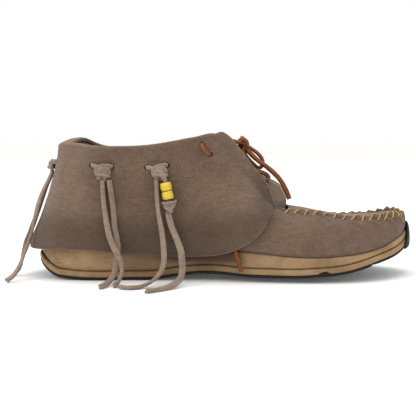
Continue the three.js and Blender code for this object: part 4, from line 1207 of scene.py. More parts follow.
# ---------------------------------------------------------------- sole
@dataclass
class Sole:
    """Black tread, two foam layers, and what lies inside the shoe."""

    looks: Looks
    stations: int = 190
    across: int = 10
    bumper_span: float = 0.046
    bumper_top: float = 39

    def slab(self, name: str, wall: Callable[[float], Sequence[tuple[float, float]]],
             floor: Sequence[tuple[float, float]] = (), keel: bool = False) -> Maker:
        """A solid that fills the sole's outline.

        Args:
            name: the piece's name.
            wall: pairs of inset and height up the side, at a place round the edge.
            floor: pairs of inset and rise under the bottom, from the edge inwards.
            keel: whether the bottom follows the floor and not its curled edge.

        Returns:
            The piece under construction.
        """
        maker = Maker(name)
        rises = len(wall(0.0))
        loop = 2 * (rises + len(floor)) + 2 * (self.across - 1)

        def spot(t: float, index: int) -> Vector:
            """A point of the loop on one side: floor marks first, then up the wall."""
            levels = wall(t)
            if index < len(floor):
                inset, rise = floor[len(floor) - 1 - index]
                inset += KEEL_CURL * EDGE_LIFT(LAST.plan(t).x) if keel else 0
                point = LAST.edge(t, min(inset, self.reach(t)), levels[0][1] + rise)
                if keel:
                    point.z = min(point.z, LAST.tread(point.x) + rise)
                return point
            inset, height = levels[index - len(floor)]
            return LAST.edge(t, min(inset, self.reach(t)), height)

        count = rises + len(floor)

        def place(u: float, v: float) -> Vector:
            """The solid's skin: outer side up, across the top, inner side down, back below."""
            t = 0.25 * (1 - math.cos(math.pi * u)) if u < 1 else 0.5
            k = round(v * loop) % loop
            if k < count:
                return spot(t, k)
            k -= count
            if k < self.across - 1:
                share = (k + 1) / self.across
                return mix(spot(t, count - 1), spot(1 - t, count - 1), share)
            k -= self.across - 1
            if k < count:
                return spot(1 - t, count - 1 - k)
            share = (k - count + 1) / self.across
            return mix(spot(1 - t, 0), spot(t, 0), share)

        maker.sheet(self.stations, loop, place)
        return maker

    @lru_cache(maxsize=None)
    def reach(self, t: float) -> float:
        """How far the outline can be inset at t before its two sides meet."""
        return max(0.0, abs(LAST.plan(t).y - LAST.plan(1 - t).y) / 2 * 0.98 + 3)

    def __hash__(self) -> int:
        """One sole, one hash, so that its reach can be kept."""
        return id(self)

    def outsole(self) -> None:
        """The black layer: it curls up to its edge, with a bumper, a rib, a notch and bars."""
        def wall(t: float) -> list[tuple[float, float]]:
            """Side of the black layer."""
            x = LAST.plan(t).x
            bottom = LAST.rim(x) + 1.5 * ease(3.4, 0.4, abs(x - NOTCH_X))
            top = LAST.rim(x) + LAST.rubber + 1.9 * ease(3.0, 0.9, abs(x - RIB_X))
            lip = self.lip_inset(t)
            return [(lip + 1.5, bottom), (lip + 0.75, bottom + 0.2), (lip + 0.35, bottom + 0.4),
                    (lip + 0.3, top - 0.3), (lip + 0.7, top)]

        maker = self.slab("outsole_tread", wall, KEEL_MARKS, keel=True)
        for k in range(TREAD_BARS):
            self.tread_bar(maker, mix(*TREAD_REACH, k / (TREAD_BARS - 1)), k)
        self.bumper(maker)
        dress(maker.done(), self.looks.rubber, "rubber_tread", replaced=["outsole"])

    def tread_bar(self, maker: Maker, x: float, index: int) -> None:
        """One wavy bar across the tread."""
        outer, inner = LAST.flank(x, Side.OUTER), LAST.flank(x, Side.INNER)
        inset = BAR_INSET + KEEL_CURL * EDGE_LIFT(x)
        start, stop = LAST.edge(outer, inset, 0), LAST.edge(inner, inset, 0)
        if stop.y - start.y < 8:
            return

        def place(u: float, v: float) -> Vector:
            """A bar with a flat face, four faces round."""
            along, up = ((-1.5, 0.9), (-1.1, 0.0), (1.1, 0.0), (1.5, 0.9))[round(v * 4) % 4]
            y = mix(start.y, stop.y, u)
            wave = 2.2 * (abs((y / 11 + index * 0.5) % 2 - 1) - 0.5)
            at = x + along + wave
            return Vector((at, y, LAST.tread(at) + up))

        maker.sheet(28, 4, place)

    def bumper(self, maker: Maker) -> None:
        """The black cap that rises over the toe."""
        def place(u: float, v: float) -> Vector:
            """The cap's skin, round its thin section."""
            share = 2 * u - 1
            t = 0.5 + share * self.bumper_span
            bottom = LAST.rim(LAST.plan(t).x) + 0.3
            top = bottom + 2 + (self.bumper_top - bottom) * max(0.0, 1 - share * share) ** 0.8
            across, up = math.cos(math.tau * v), math.sin(math.tau * v)
            level = mix(bottom, top, 0.5 + 0.5 * math.copysign(abs(up) ** 0.5, up))
            lean = 1.2 * max(0.0, (level - 30) / 11) - LAST.seat
            depth = 1.1 - 1.1 * math.copysign(abs(across) ** 0.45, across)
            thin = 1 - 0.6 * abs(share) ** 6
            return LAST.edge(t, lean - 2.2 * thin + depth * thin, level)

        maker.sheet(44, 40, place)

    def cup_inset(self, t: float) -> float:
        """How far the cup stands in from the sole's edge: more behind the heel."""
        return 0.8 + 3.2 * max(0.0, math.cos(math.tau * t)) ** 6

    def lip_inset(self, t: float) -> float:
        """How far the lower lip stands in from the sole's edge behind the heel."""
        return 2.0 * max(0.0, math.cos(math.tau * t)) ** 6

    def lower_foam(self) -> None:
        """The thin foam layer that lies on the tread, proud all round."""
        def wall(t: float) -> list[tuple[float, float]]:
            """Side of the lower layer, rounded at both lips."""
            x = LAST.plan(t).x
            bottom = LAST.rim(x) + LAST.rubber + 0.15
            top = bottom + LAST.lower + 0.15
            bump = 2.0 * ease(3.2, 1.0, abs(x - RIB_X))
            lip = self.lip_inset(t)
            return [(lip + 1.0, bottom + bump), (lip + 0.35, bottom + 0.3 + bump),
                    (lip + 0.05, bottom + 1.1 + bump * 0.6), (lip, (bottom + top) / 2),
                    (lip + 0.1, top - 1.0), (lip + 0.45, top - 0.3), (lip + 1.2, top)]

        maker = self.slab("midsole_lower_layer", wall)
        dress(maker.done(), self.looks.foam, "midsole_foam", replaced=["midsole_lower"])

    def upper_foam(self) -> None:
        """The foam cup, with its rounded edge and a moulded crease on its sides."""
        def wall(t: float) -> list[tuple[float, float]]:
            """Side of the cup."""
            inset, x = self.cup_inset(t), LAST.plan(t).x
            bottom = LAST.rim(x) + LAST.rubber + LAST.seat + LAST.lower + LAST.joint
            top = LAST.foam_top(x)
            crease = mix(19.4, 11.3, (x + 2.6) / 37.6)
            levels = []
            for k in range(13):
                height = mix(bottom, top, k / 12)
                belly = 0.3 * math.sin(math.pi * k / 12)
                nip = 0.9 * ease(0.16, 0.0, k / 12) + 0.9 * ease(0.9, 1.0, k / 12)
                fold = 0.0
                if -6 < x < 40:
                    fade = ease(-6, 2, x) * (1 - ease(33, 40, x))
                    fold = 0.5 * fade * math.exp(-((height - crease) / 0.9) ** 2)
                    fold -= 0.35 * fade * math.exp(-((height - crease - 1.9) / 1.0) ** 2)
                levels.append((inset - belly + nip + fold, height))
            return levels

        maker = self.slab("midsole_upper_cup", wall)
        dress(maker.done(), self.looks.foam, "midsole_foam", replaced=["midsole_upper"])

    def insert(self, name: str, node: str, below: float, thick: float, inset: float,
               look: bpy.types.Material, slot: str) -> None:
        """A soft flat layer inside the shoe, above the foam."""
        def wall(t: float) -> list[tuple[float, float]]:
            """Rounded side of the layer."""
            base = LAST.foam_top(LAST.plan(t).x) + below
            return [(inset + 0.6, base), (inset, base + thick * 0.4),
                    (inset + 0.3, base + thick * 0.85), (inset + 1.2, base + thick)]

        dress(self.slab(name, wall).done(), look, slot, replaced=[node])

    def build(self) -> None:
        """Makes the layers from the floor up."""
        self.outsole()
        self.lower_foam()
        self.upper_foam()
        self.insert("footbed_layer", "footbed", 2.6, 4, 9.6, self.looks.inner_foam, "footbed_foam")
        self.insert("footbed_cover_layer", "footbed_cover", 6.9, 1, 11, self.looks.lining,
                    "lining_hide")


# ---------------------------------------------------------------- upper
@dataclass
class Upper:
    """Vamp, plug, hand stitching, tongue, quarter and lining."""

    looks: Looks
    pitch: float = 7.2
    leather: float = 1.8
    plug_rear: float = 52
    lining_depth: float = 3.7
    seam: SeamLine = field(init=False)
    tongue_line: list = field(init=False)

    def __post_init__(self) -> None:
        """Measures the seam and the tongue's line."""
        rear = LAST.flank(self.plug_rear - 9, Side.OUTER)
        self.seam = SeamLine(rear, LAST.flank(self.plug_rear - 9, Side.INNER))
        self.tongue_line = smooth_line([Vector((x, 0, z)) for x, z in TONGUE_PATH], 0.6)

    def pucker(self, t: float, distance: float) -> float:
        """How far the gathered vamp puffs out, at a distance below the seam."""
        toward = clamp((0.5 - t) / 0.08, -1, 1)
        lean = mix(0.5, 0.9, between((0.36, 0.46), (0.54, 0.64), t))
        along = self.seam.length_to(t) - toward * lean * distance
        index = math.floor(along / self.pitch)
        share = along / self.pitch - index
        front = between((0.2, 0.36), (0.56, 0.7), t)
        reach = mix(6.0, 11, front) * mix(0.6, 1.3, chance(index, 3))
        size = mix(2.2, 3.1, front) * mix(0.75, 1.2, chance(index, 5))
        size *= 1 - 0.5 * ease(0.52, 0.57, t)
        puff = abs(math.sin(math.pi * share)) ** 0.85
        return size * puff * math.exp(-(distance / reach) ** 2)

    def side_seam(self, x: float) -> float:
        """Height of the seam where the vamp passes under the quarter."""
        share = clamp((x + 34) / 36)
        foot = LAST.foam_top(x) + LAST.seat
        return foot + (53 - foot) * share

    def vamp(self) -> None:
        """The gathered front, and the rolled ridge that its edge makes with the plug."""
        start, stop = LAST.flank(-31, Side.OUTER), LAST.flank(-31, Side.INNER)
        wall_rows, roll_rows = 40, 12
        rows = wall_rows + roll_rows

        def place(u: float, v: float) -> Vector:
            """The wall up to the seam, then round the ridge to the plug."""
            t = mix(start, stop, u)
            side, x = LAST.column(t), LAST.plan(t).x
            gathered = ease(40, 52, x)
            k = round(v * rows)
            reach = side.reach
            if k <= wall_rows:
                full = 1.0 if x > SEAM_REAR else side.share(min(self.side_seam(x), side.top.z))
                share = full * (k / wall_rows) ** 0.8
                point = side.at(share)
                distance = reach * (1 - share)
                puff = self.pucker(t, distance) * gathered
                sag = 0.35 * noise.noise(point * 0.05) * math.sin(math.pi * share)
                return point + side.out * (puff * 0.55 + sag) + Vector((0, 0, puff * 0.75))
            turn = (k - wall_rows) / roll_rows
            puff = self.pucker(t, 0.0) * gathered
            radius = 1.35 + puff * 0.35
            angle = math.pi * (1.08 * turn)
            centre = side.top - side.out * 1.2 + Vector((0, 0, puff * 0.5 - 0.2))
            roll = side.out * math.cos(angle) * radius + Vector((0, 0, math.sin(angle) * radius))
            rolled = centre + roll
            if x > SEAM_REAR:
                return rolled
            return side.at(side.share(min(self.side_seam(x), side.top.z))) - side.out * (0.1 * turn)

        maker = Maker("vamp_gathered")
        maker.sheet(560, rows, place)
        piece = maker.done(closed=False)
        thicken(piece, 1.5)
        dress(piece, self.looks.suede, "upper_suede", replaced=["vamp"])

    def plug_point(self, share: float, across: float) -> Vector:
        """The plug's face, from its rear edge to the toe and from outer to inner side."""
        rear = LAST.flank(self.plug_rear, Side.OUTER)
        t = mix(rear, 0.5, share)
        outer, inner = LAST.column(t).top, LAST.column(1 - t).top
        span = inner - outer
        length = max(span.length, 1e-6)
        inset = min(0.3, 1.7 / length)
        point = outer + span * mix(inset, 1 - inset, across)
        near = min(across, 1 - across) * length
        fall = min(1.0, length / 40)
        point.z += max(2.7, 4.2 - 3.2 * share) * fall * 4 * across * (1 - across) - 0.2
        point.z += 0.5 * math.exp(-(near / 1.6) ** 2) - 0.45 * math.exp(-((near - 3.2) / 1.6) ** 2)
        sag = noise.noise(Vector((point.x * 0.06, point.y * 0.06, 2.1)))
        point.z += 0.35 * sag * ease(2, 9, near)
        return point

    def plug(self) -> None:
        """The smooth apron, with a row of needle holes inside its seam."""
        rear = LAST.flank(self.plug_rear, Side.OUTER)

        def place(u: float, v: float) -> Vector:
            """The face, with rows crowded towards the toe."""
            return self.plug_point(math.sin(u * math.pi / 2), v)

        def paint(u: float, v: float) -> tuple[float, float]:
            """Stitches along the seam, and millimetres in from it."""
            t = mix(rear, 0.5, math.sin(u * math.pi / 2))
            span = (LAST.column(t).top - LAST.column(1 - t).top).length
            along = self.seam.length_to(t if v < 0.5 else 1 - t)
            return along / self.pitch, min(v, 1 - v) * span

        maker = Maker("plug_apron")
        maker.sheet(120, 72, place, paint)
        piece = maker.done(closed=False)
        thicken(piece, 1.6)
        dress(piece, self.looks.plug, "upper_suede", replaced=["plug"])

    def stitches(self) -> None:
        """One leaning hand stitch over the ridge for each gather."""
        maker = Maker("apron_stitches")
        total = self.seam.table[-1]
        rear = LAST.flank(self.plug_rear - 6, Side.OUTER)
        first = math.ceil(self.seam.length_to(rear) / self.pitch)
        for index in range(first, int(total / self.pitch) - first + 2):
            t = self.seam.at_length(index * self.pitch)
            side = LAST.column(t)
            along = (LAST.column(t + 2e-3).top - LAST.column(t - 2e-3).top).normalized()
            slant = clamp((0.5 - t) / 0.03, -1, 1) * mix(0.95, 1.2, chance(index, 1))
            slant *= 1 + 0.8 * between((0.3, 0.44), (0.56, 0.7), t)
            if abs(t - 0.5) < 0.01:
                slant = 0.4
            reach = side.reach
            low_end = side.at(1 - 3.6 / reach)
            up = Vector((0, 0, 1))
            crest = side.top - side.out * 1.2
            marks = (
                (-2.1, 3.6, low_end - up * 0.8),
                (-1.7, 3.6, low_end + up * 0.55 + side.out * 0.25),
                (-0.4, 1.6, mix(low_end, side.top, 0.55) + up * 1.3),
                (0.9, 0.0, crest + up * 1.9),
                (1.7, 0.0, crest - side.out * 0.9 + up * 1.6),
                (2.1, 0.0, crest - side.out * 1.5 + up * 0.3),
            )
            points = []
            for shift, distance, point in marks:
                beside = self.seam.at_length(index * self.pitch + shift * slant)
                puff = self.pucker(beside, distance)
                points.append(point + along * shift * slant + (side.out * 0.5 + up * 0.7) * puff)
            maker.sweep(Route(points, 0.55, side.out), Section(1.25, 1.05, 1.0, 8))
        dress(maker.done(), self.looks.thread, "waxed_thread", replaced=["apron_thread"])

    def wall(self, name: str, node: str, front: float, depth: float, thickness: float,
             foot: Callable[[float], float], look: bpy.types.Material, slot: str) -> None:
        """A layer of the back of the upper, under its face."""
        start, stop = LAST.flank(front, Side.INNER) - 1, LAST.flank(front, Side.OUTER)

        def place(u: float, v: float) -> Vector:
            """A point of the layer's outer face."""
            t = mix(start, stop, u)
            return LAST.under(t, mix(foot(t), 1.0, v), depth)

        maker = Maker(name)
        maker.sheet(240, 30, place)
        piece = maker.done(closed=False)
        thicken(piece, thickness)
        dress(piece, look, slot, replaced=[node])

    def quarter_foot(self, t: float) -> float:
        """Where the quarter starts on the side's curve."""
        x = LAST.plan(t).x
        return 0.0 if x < -34 else LAST.column(t).share(self.side_seam(x) + 2 * LAST.seat)

    def lining_foot(self, t: float) -> float:
        """Where the lining starts on the side's curve."""
        return LAST.column(t).share(LAST.foam_top(LAST.plan(t).x) + LAST.seat + 1)

    def tongue_point(self, share: float, across: float, depth: float) -> Vector:
        """A point of the tongue: along its line, across it and under its face."""
        line = self.tongue_line
        place = share * (len(line) - 1)
        k = min(len(line) - 2, int(place))
        centre = mix(line[k], line[k + 1], place - k)
        along = (line[min(len(line) - 1, k + 3)] - line[max(0, k - 2)]).normalized()
        out = Vector((along.z, 0, -along.x))
        point = centre - out * (depth + TONGUE_DROP(share) * across * across)
        point.y = across * TONGUE_WIDTH(share)
        return point

    def tongue(self) -> None:
        """The tongue, soft edged, with a stitched line near its outer edge."""
        def place(u: float, v: float) -> Vector:
            """Round the tongue's flat section, closed to a thin edge at both ends."""
            across, out = math.cos(math.tau * v), math.sin(math.tau * v)
            end = min(1.0, 14 * u, 14 * (1 - u)) ** 0.5
            depth = 1.1 - 1.1 * end * math.copysign(abs(out) ** 0.6, out)
            side = math.copysign(abs(across) ** 0.8, across)
            swell = 0.3 * noise.noise(Vector((u * 5, side * 3, 0.7)))
            return self.tongue_point(u, side, depth + swell)

        maker = Maker("tongue_flap")
        maker.sheet(110, 64, place)
        dress(maker.done(), self.looks.suede, "upper_suede", replaced=["tongue"])
        stitching = Maker("tongue_stitches")
        for k in range(17):
            share = 0.11 + k * 0.025
            points = [self.tongue_point(share + step, -0.34, depth)
                      for step, depth in ((0.0, 0.9), (0.003, -0.25), (0.012, -0.35), (0.015, 0.9))]
            stitching.sweep(Route(points, 0.5, Vector((0.5, -1, 0))), Section(0.8, 0.6, 1.0, 8))
        dress(stitching.done(), self.looks.pale_thread, "waxed_thread")

    def build(self) -> None:
        """Makes the upper from the toe back."""
        self.vamp()
        self.plug()
        self.stitches()
        self.tongue()
        self.wall("quarter_back", "quarter", 35.5, 0.0, self.leather, self.quarter_foot,
                  self.looks.suede, "upper_suede")
        self.wall("lining_back", "collar_lining", 12, self.lining_depth, 1.0, self.lining_foot,
                  self.looks.lining, "lining_hide")


TONGUE_PATH = (
    (51.0, 50.5), (51.4, 57.6), (51.2, 61.5), (49.3, 65.5), (46.4, 70.3), (42.3, 73.4), (36, 76),
    (28, 80.5), (18, 89.5), (9, 100.5),
)
TONGUE_WIDTH = profile([(0, 32), (0.28, 31), (0.42, 28), (0.55, 22), (1, 21)])
TONGUE_DROP = profile([(0, 9), (0.1, 9.5), (0.22, 11.5), (0.38, 16), (0.5, 14), (1, 10)])


# ---------------------------------------------------------------- cuff
HEM = profile([
    (-151, 21.4), (-136, 23), (-109, 24), (-68, 21), (-38, 19), (-9, 19.4), (4, 22), (12, 25.4),
    (21, 30.5), (29, 38), (35, 47), (39, 56)])
FRONT_EDGE = profile([
    (-8, 110), (-4, 111), (0, 111.7), (3.5, 110.2), (9, 105.2), (17, 95), (27, 82), (33, 75),
    (37, 67), (39, 58.5)])


@dataclass
class Cuff:
    """The folded skirt that hangs from the collar, and the holes through it."""

    looks: Looks
    tip_x: float = 39
    thickness: float = 2.2
    gap: float = 3.2
    flare: float = 2.6
    fold: float = 3.4
    inner_drop: float = 4
    clearance: float = 0.5

    def __post_init__(self) -> None:
        """Finds both front tips."""
        self.front = LAST.flank(self.tip_x + 2.4, Side.OUTER)
        self.front_inner = LAST.flank(self.tip_x + 2.4, Side.INNER) - 1
        self.kept: dict[float, tuple[float, float]] = {}

    def top_z(self, t: float, x: float) -> float:
        """Height of the upper edge: the fold over the collar, then the front edge."""
        folded = LAST.column(t).top.z + self.fold + 0.9 * ease(-45, -6, x)
        if x < FOLD_END:
            return folded
        inner = t < 0 or t > 0.5
        height = FRONT_EDGE(x) - (self.inner_drop * (1 - x / self.tip_x) if inner else 0)
        return mix(folded, height, clamp((x - FOLD_END) / 5))

    def point(self, t: float, z: float, depth: float, hem: float, top: float) -> Vector:
        """A point of the cuff at a height, moved in by depth."""
        side = LAST.column(t)
        point = side.at(side.share(z))
        drop = clamp((top - z) / (top - hem))
        hug = clamp((point.x - 12) / 24)
        stand = self.gap * (1 - 0.45 * hug) + self.flare * (1 - hug) * drop ** 1.4
        point = point + side.out * (stand + self.thickness - depth)
        point.z = z
        return point

    def edges(self, t: float) -> tuple[float, float]:
        """Heights of the hem and of the upper edge at t."""
        if t not in self.kept:
            hem = HEM(LAST.plan(t).x)
            top = self.top_z(t, LAST.column(t).top.x)
            for _ in range(8):
                hem = HEM(self.point(t, hem, 0, hem, top).x)
                top = self.top_z(t, self.point(t, top, 0, hem, top).x)
            self.kept[t] = (hem, max(top, hem + 2.5))
        return self.kept[t]

    def spot(self, x: float, z: float, side: Side) -> Matrix:
        """The frame on a flank's outer face: X along it, Y out of it, Z up it."""
        near, far = 0.0, self.front if side < 0 else -self.front_inner
        for _ in range(24):
            middle = (near + far) / 2
            t = -side * middle
            if self.point(t, z, 0, *self.edges(t)).x < x:
                near = middle
            else:
                far = middle
        return self.frame_at(-side * near, z)

    def frame_at(self, t: float, z: float) -> Matrix:
        """The frame on the outer face at t and z."""
        def at(place: float, height: float) -> Vector:
            """A point of the outer face."""
            return self.point(place, height, 0, *self.edges(place))

        around = at(t + 4e-3, z) - at(t - 4e-3, z)
        rise = at(t, z + 1) - at(t, z - 1)
        out = around.cross(rise).normalized()
        along = out.cross(rise.normalized()).normalized()
        up = along.cross(out).normalized()
        turned = Matrix((along, out, up)).transposed().to_4x4()
        turned.translation = at(t, z)
        return turned

    def section(self, t: float) -> list[Vector]:
        """One closed section: up the face, over the fold, inside it and down the back."""
        hem, top = self.edges(t)
        collar = LAST.column(t).top
        folded = clamp(1 - (collar.x + 6) / 8)
        reach = self.thickness + (self.gap + 4.7) * folded + 0.2
        under = max(min(collar.z + 0.3 + 6 * (1 - folded), top - 1.2), hem + 1.2)
        outer, inner = mix(0.85, 2.9, folded), mix(0.85, 1.3, folded)
        outer = min(outer, (top - hem) / 3)
        marks = [(0.0, mix(hem + 0.8, top - outer, (k / 30) ** 0.9)) for k in range(31)]
        for k in range(1, 8):
            angle = math.pi / 2 * k / 7
            marks.append((outer * (1 - math.cos(angle)), top - outer * (1 - math.sin(angle))))
        for k in range(1, 4):
            crown = 0.25 * folded * math.sin(math.pi * k / 4)
            marks.append((mix(outer, reach - inner, k / 4), top + crown))
        for k in range(6):
            angle = math.pi / 2 * (1 - k / 5)
            across, down = inner * (1 - math.cos(angle)), inner * (1 - math.sin(angle))
            marks.append((reach - across, top - down))
        marks.append((reach, mix(top - inner, under, 0.6)))
        marks.append((reach - 0.3, under))
        marks.append((mix(reach, self.thickness, 0.5), under))
        marks.extend((self.thickness, mix(under, hem + 0.8, k / 14)) for k in range(15))
        for k in range(1, 6):
            angle = math.pi * k / 6
            across = self.thickness / 2 * (1 + math.cos(angle))
            marks.append((across, hem + 0.8 * (1 - math.sin(angle))))
        points = []
        for depth, z in marks:
            point = self.point(t, z, depth, hem, top)
            drop = clamp((top - z) / (top - hem))
            slow = noise.noise(Vector((point.x * 0.035, point.y * 0.03, z * 0.03)))
            wave = 0.75 * slow * ease(0, 0.4, drop)
            wave += 0.22 * noise.noise(point * 0.13) * ease(0, 0.2, drop)
            points.append(point + LAST.outward(t) * max(-1.0, wave))
        return points

    def build(self, places: Sequence[tuple[Matrix, Sequence[tuple[float, float]], float]]) -> None:
        """Makes the skirt and pierces it.

        Args:
            places: for each knot or stitch its frame, its holes in that frame and their width.
        """
        columns = 300
        count = len(self.section(0.0))
        kept: dict[int, list[Vector]] = {}

        def place(u: float, v: float) -> Vector:
            """The skirt's skin; each end closes to a point."""
            k = round(u * columns)
            if k not in kept:
                share = clamp((k - 1) / (columns - 2))
                share = share + 0.045 * math.sin(2 * math.tau * share) / 2
                points = self.section(mix(self.front_inner, self.front, share))
                if k in (0, columns):
                    middle = sum(points, Vector()) / count
                    points = [middle] * count
                kept[k] = points
            return kept[k][round(v * count) % count]

        def paint(u: float, v: float) -> tuple[float, float]:
            """Metres in from the rim are near 0 at the hem and the front edge."""
            k = clamp(round(v * count) / 30)
            rim = min(k * 0.075, (1 - u) * 0.6, u * 0.6) if v * count <= 31 else 0.05
            return u, rim

        maker = Maker("cuff_skirt")
        maker.sheet(columns, count, place, paint)
        piece = maker.done()
        tools = Maker("cuff_hole_tools")
        for spot, holes, width in places:
            for along, up in holes:
                made = bmesh.ops.create_cone(
                    tools.mesh, cap_ends=True, segments=20, radius1=width / 2 + self.clearance,
                    radius2=width / 2 + self.clearance, depth=9)
                lay = Matrix.Rotation(math.pi / 2, 4, "X")
                for vert in made["verts"]:
                    lain = lay @ vert.co
                    vert.co = spot @ Vector((lain.x + along, lain.y - 1.1, lain.z + up)) * MM
        tool = tools.done()
        pierce = piece.modifiers.new("pierce", "BOOLEAN")
        pierce.operation = "DIFFERENCE"
        pierce.solver = "EXACT"
        pierce.object = tool
        shaped = bpy.data.meshes.new_from_object(
            piece.evaluated_get(bpy.context.evaluated_depsgraph_get()))
        piece.modifiers.clear()
        piece.data = shaped
        bpy.data.objects.remove(tool)
        dress(piece, self.looks.cuff, "upper_suede", replaced=["cuff"])


# ---------------------------------------------------------------- knots, stitches and beads
KNOT_BANDS: tuple[tuple[float, tuple[Point, ...]], ...] = (
    (4.6, ((-3.0, 1.6, 4.4), (0.4, 3.9, 4.2), (3.6, 4.4, 2.9), (5.4, 3.2, 0.9), (5.2, 1.4, -1.2))),
    (4.2, ((2.4, 3.6, 4.3), (-1.6, 5.2, 4.7), (-5.0, 4.8, 2.4), (-5.6, 4.2, -1.2),
           (-3.8, 3.4, -4.6))),
    (3.6, ((3.6, 4.6, 2.1), (0.6, 6.6, 3.1), (-2.0, 7.0, 1.7), (-3.0, 6.4, -0.9),
           (-2.6, 5.0, -3.8))),
    (4.6, ((-3.6, 2.6, 2.8), (-1.0, 6.0, 1.4), (2.0, 6.6, -0.4), (4.4, 4.2, -2.0))),
    (5.4, ((-4.2, 1.6, -2.2), (-3.4, 5.0, -2.4), (-0.6, 7.0, -2.6), (2.8, 6.8, -2.6),
           (5.4, 4.6, -2.5), (5.6, 1.6, -2.2))),
)


@dataclass
class Ties:
    """Thong knots, lace stitches, the lace's bow knot, and the beads on their thong."""

    looks: Looks
    cuff: Cuff
    thong_z: float = 82
    stitch_x: float = -11
    stitch_z: float = 98.5
    thong_holes: tuple = ((-9.5, 3), (5.2, 5.2))
    heel_holes: tuple = ((-5.5, 3), (5.5, 3))
    lace_holes: tuple = ((-3, 4), (2.5, -3.5))
    bead_top: Vector = field(default_factory=lambda: Vector((-42.2, -43, 77.6)))
    bead_axis: Vector = field(default_factory=lambda: Vector((0.19, -0.03, -0.98)).normalized())
    bead_height: float = 6.2
    bead_lead: float = 3.2

    def __post_init__(self) -> None:
        """Places every knot and stitch on the cuff."""
        self.knots = [
            (name + side.name.lower(), self.cuff.spot(x, self.thong_z, side), side,
             self.thong_holes, 0.8)
            for name, x in (("rear_", -88), ("mid_", -46)) for side in Side
        ]
        self.knots.append(("heel", self.cuff.frame_at(0, 85), Side.INNER, self.heel_holes, 0.68))
        self.laced = [
            (side, self.cuff.spot(self.stitch_x, self.stitch_z - (4 if side > 0 else 0), side))
            for side in Side
        ]

    def holes(self) -> list[tuple[Matrix, list[tuple[float, float]], float]]:
        """Frame, holes and width of everything that passes through the cuff."""
        found = [(spot, [(side * x, up) for x, up in holes], 3.0)
                 for _, spot, side, holes, _ in self.knots]
        found.extend((spot, [(side * x, up) for x, up in self.lace_holes], 2.4)
                     for side, spot in self.laced)
        return found

    def band(self, maker: Maker, spot: Matrix, side: Side, points: Sequence[Point], size: float,
             width: float, thickness: float = 2.2) -> None:
        """A strip through points given towards the toe, out and up."""
        placed = [spot @ Vector((side * x * size, out * size, up * size)) for x, out, up in points]
        facing = spot.to_3x3() @ Vector((0, 1, 0.2))
        maker.sweep(Route(placed, 0.8, facing), Section(width * size, thickness, 0.55, 12))

    def knot(self, name: str, spot: Matrix, side: Side, holes: Sequence[tuple[float, float]],
             size: float) -> None:
        """A flat thong tied over itself, with a leg into each hole and a dark ball inside that is painted shade."""
        maker = Maker(name + "_knot_tied")
        for width, points in KNOT_BANDS:
            self.band(maker, spot, side, points, size, width)
        for x, up in holes:
            inward = math.copysign(1, x)
            leg = [(x, -2.4, up), (x - inward * 0.3, 0.9, up), (x - inward * 2.6, 2.4, up - 0.3),
                   (x - inward * 6.0, 3.8, up - 1.2)]
            placed = [spot @ Vector((side * a, b, c)) for a, b, c in leg]
            facing = spot.to_3x3() @ Vector((-side * inward, 0.3, 0.2))
            maker.sweep(Route(placed, 0.7, facing), Section(3.4, 2.0, 0.6, 12))
        for side_x in (-1.4, 2.2):
            points = ((side_x, 3.6, 0.0), (side_x * 1.05, 3.4, -3.0), (side_x * 1.1, 2.4, -6.3))
            self.band(maker, spot, side, points, size * 1.25, 3.6)
        piece = maker.done()
        dress(piece, self.looks.thong, "thong_suede", replaced=[name + "_knot"])
        # painted shade: a dark suede ball fills the knot where shade falls between its bands
        core = Maker(name + "_knot_core")
        turned = spot.to_3x3()
        core.ball((4.6 * size, 2.9 * size, 4.4 * size), spot @ Vector((0, 3.3 * size, 0)), turned)
        dress(core.done(), self.looks.core, "thong_suede")

    def lace_stitch(self, side: Side, spot: Matrix) -> None:
        """The lace's short stitch on the cuff."""
        name = "lace_stitch_" + side.name.lower()
        maker = Maker(name + "_strip")
        points = ((-2.9, -2.6, 4.1), (-3.1, 0.5, 4.0), (-3.0, 1.9, 2.0), (-1.2, 2.4, -1.2),
                  (1.5, 1.5, -3.5), (2.4, -0.6, -3.6), (2.5, -2.6, -3.5))
        placed = [spot @ Vector((side * x, out, up)) for x, out, up in points]
        facing = spot.to_3x3() @ Vector((0, 0.2, 1))
        maker.sweep(Route(placed, 0.6, facing), Section(3.3, 2.1, 0.7, 14))
        dress(maker.done(), self.looks.lace, "lace_hide", replaced=[name])

    def lace_knot(self) -> None:
        """The bow's knot: three turns of lace over a dark middle, and its cut stub."""
        maker = Maker("lace_knot_tied")
        turns = (
            ((13.4, -10.4, 102.6), (14.4, -8.9, 104.6), (16.8, -7.9, 106.0), (19.4, -7.2, 104.4),
             (20.6, -6.6, 101.4), (19.6, -6.8, 98.8), (17.2, -7.6, 97.6)),
            ((13.2, -4.4, 98.6), (14.0, -7.4, 100.4), (16.0, -9.2, 101.8), (18.4, -8.8, 101.0),
             (20.0, -7.6, 98.4)),
            ((15.0, 3.4, 102.6), (15.6, 0.6, 104.6), (17.4, -1.6, 105.4), (19.8, -2.2, 103.0),
             (20.4, -2.8, 99.8), (17.6, -3.2, 97.6)),
            ((16.6, -9.0, 99.6), (18.4, -8.2, 99.4), (20.4, -7.8, 97.6), (22.2, -8.2, 95.6)),
        )
        for points in turns:
            maker.sweep(Route([Vector(point) for point in points], 0.6, Vector((0.6, -0.8, 0.9))),
                        Section(3.4, 2.1, 0.65, 14))
        dress(maker.done(), self.looks.lace, "lace_hide", replaced=["lace_knot"])
        core = Maker("lace_knot_core")
        core.ball((3.4, 3.4, 3.4), Vector((16.8, -5, 101.4)))
        dress(core.done(), self.looks.lace, "lace_hide")
        stub = Maker("lace_stub")
        stub.sweep(Route([Vector((16.6, -3.8, 103.4)), Vector((16.7, -3.4, 105.6)),
                          Vector((16.6, -3.1, 108.3))], 0.6, Vector((0, -1, 0))),
                   Section(2.9, 2.5, 0.85, 14))
        dress(stub.done(), self.looks.lace_cut, "lace_hide", replaced=["lace_end_short"])

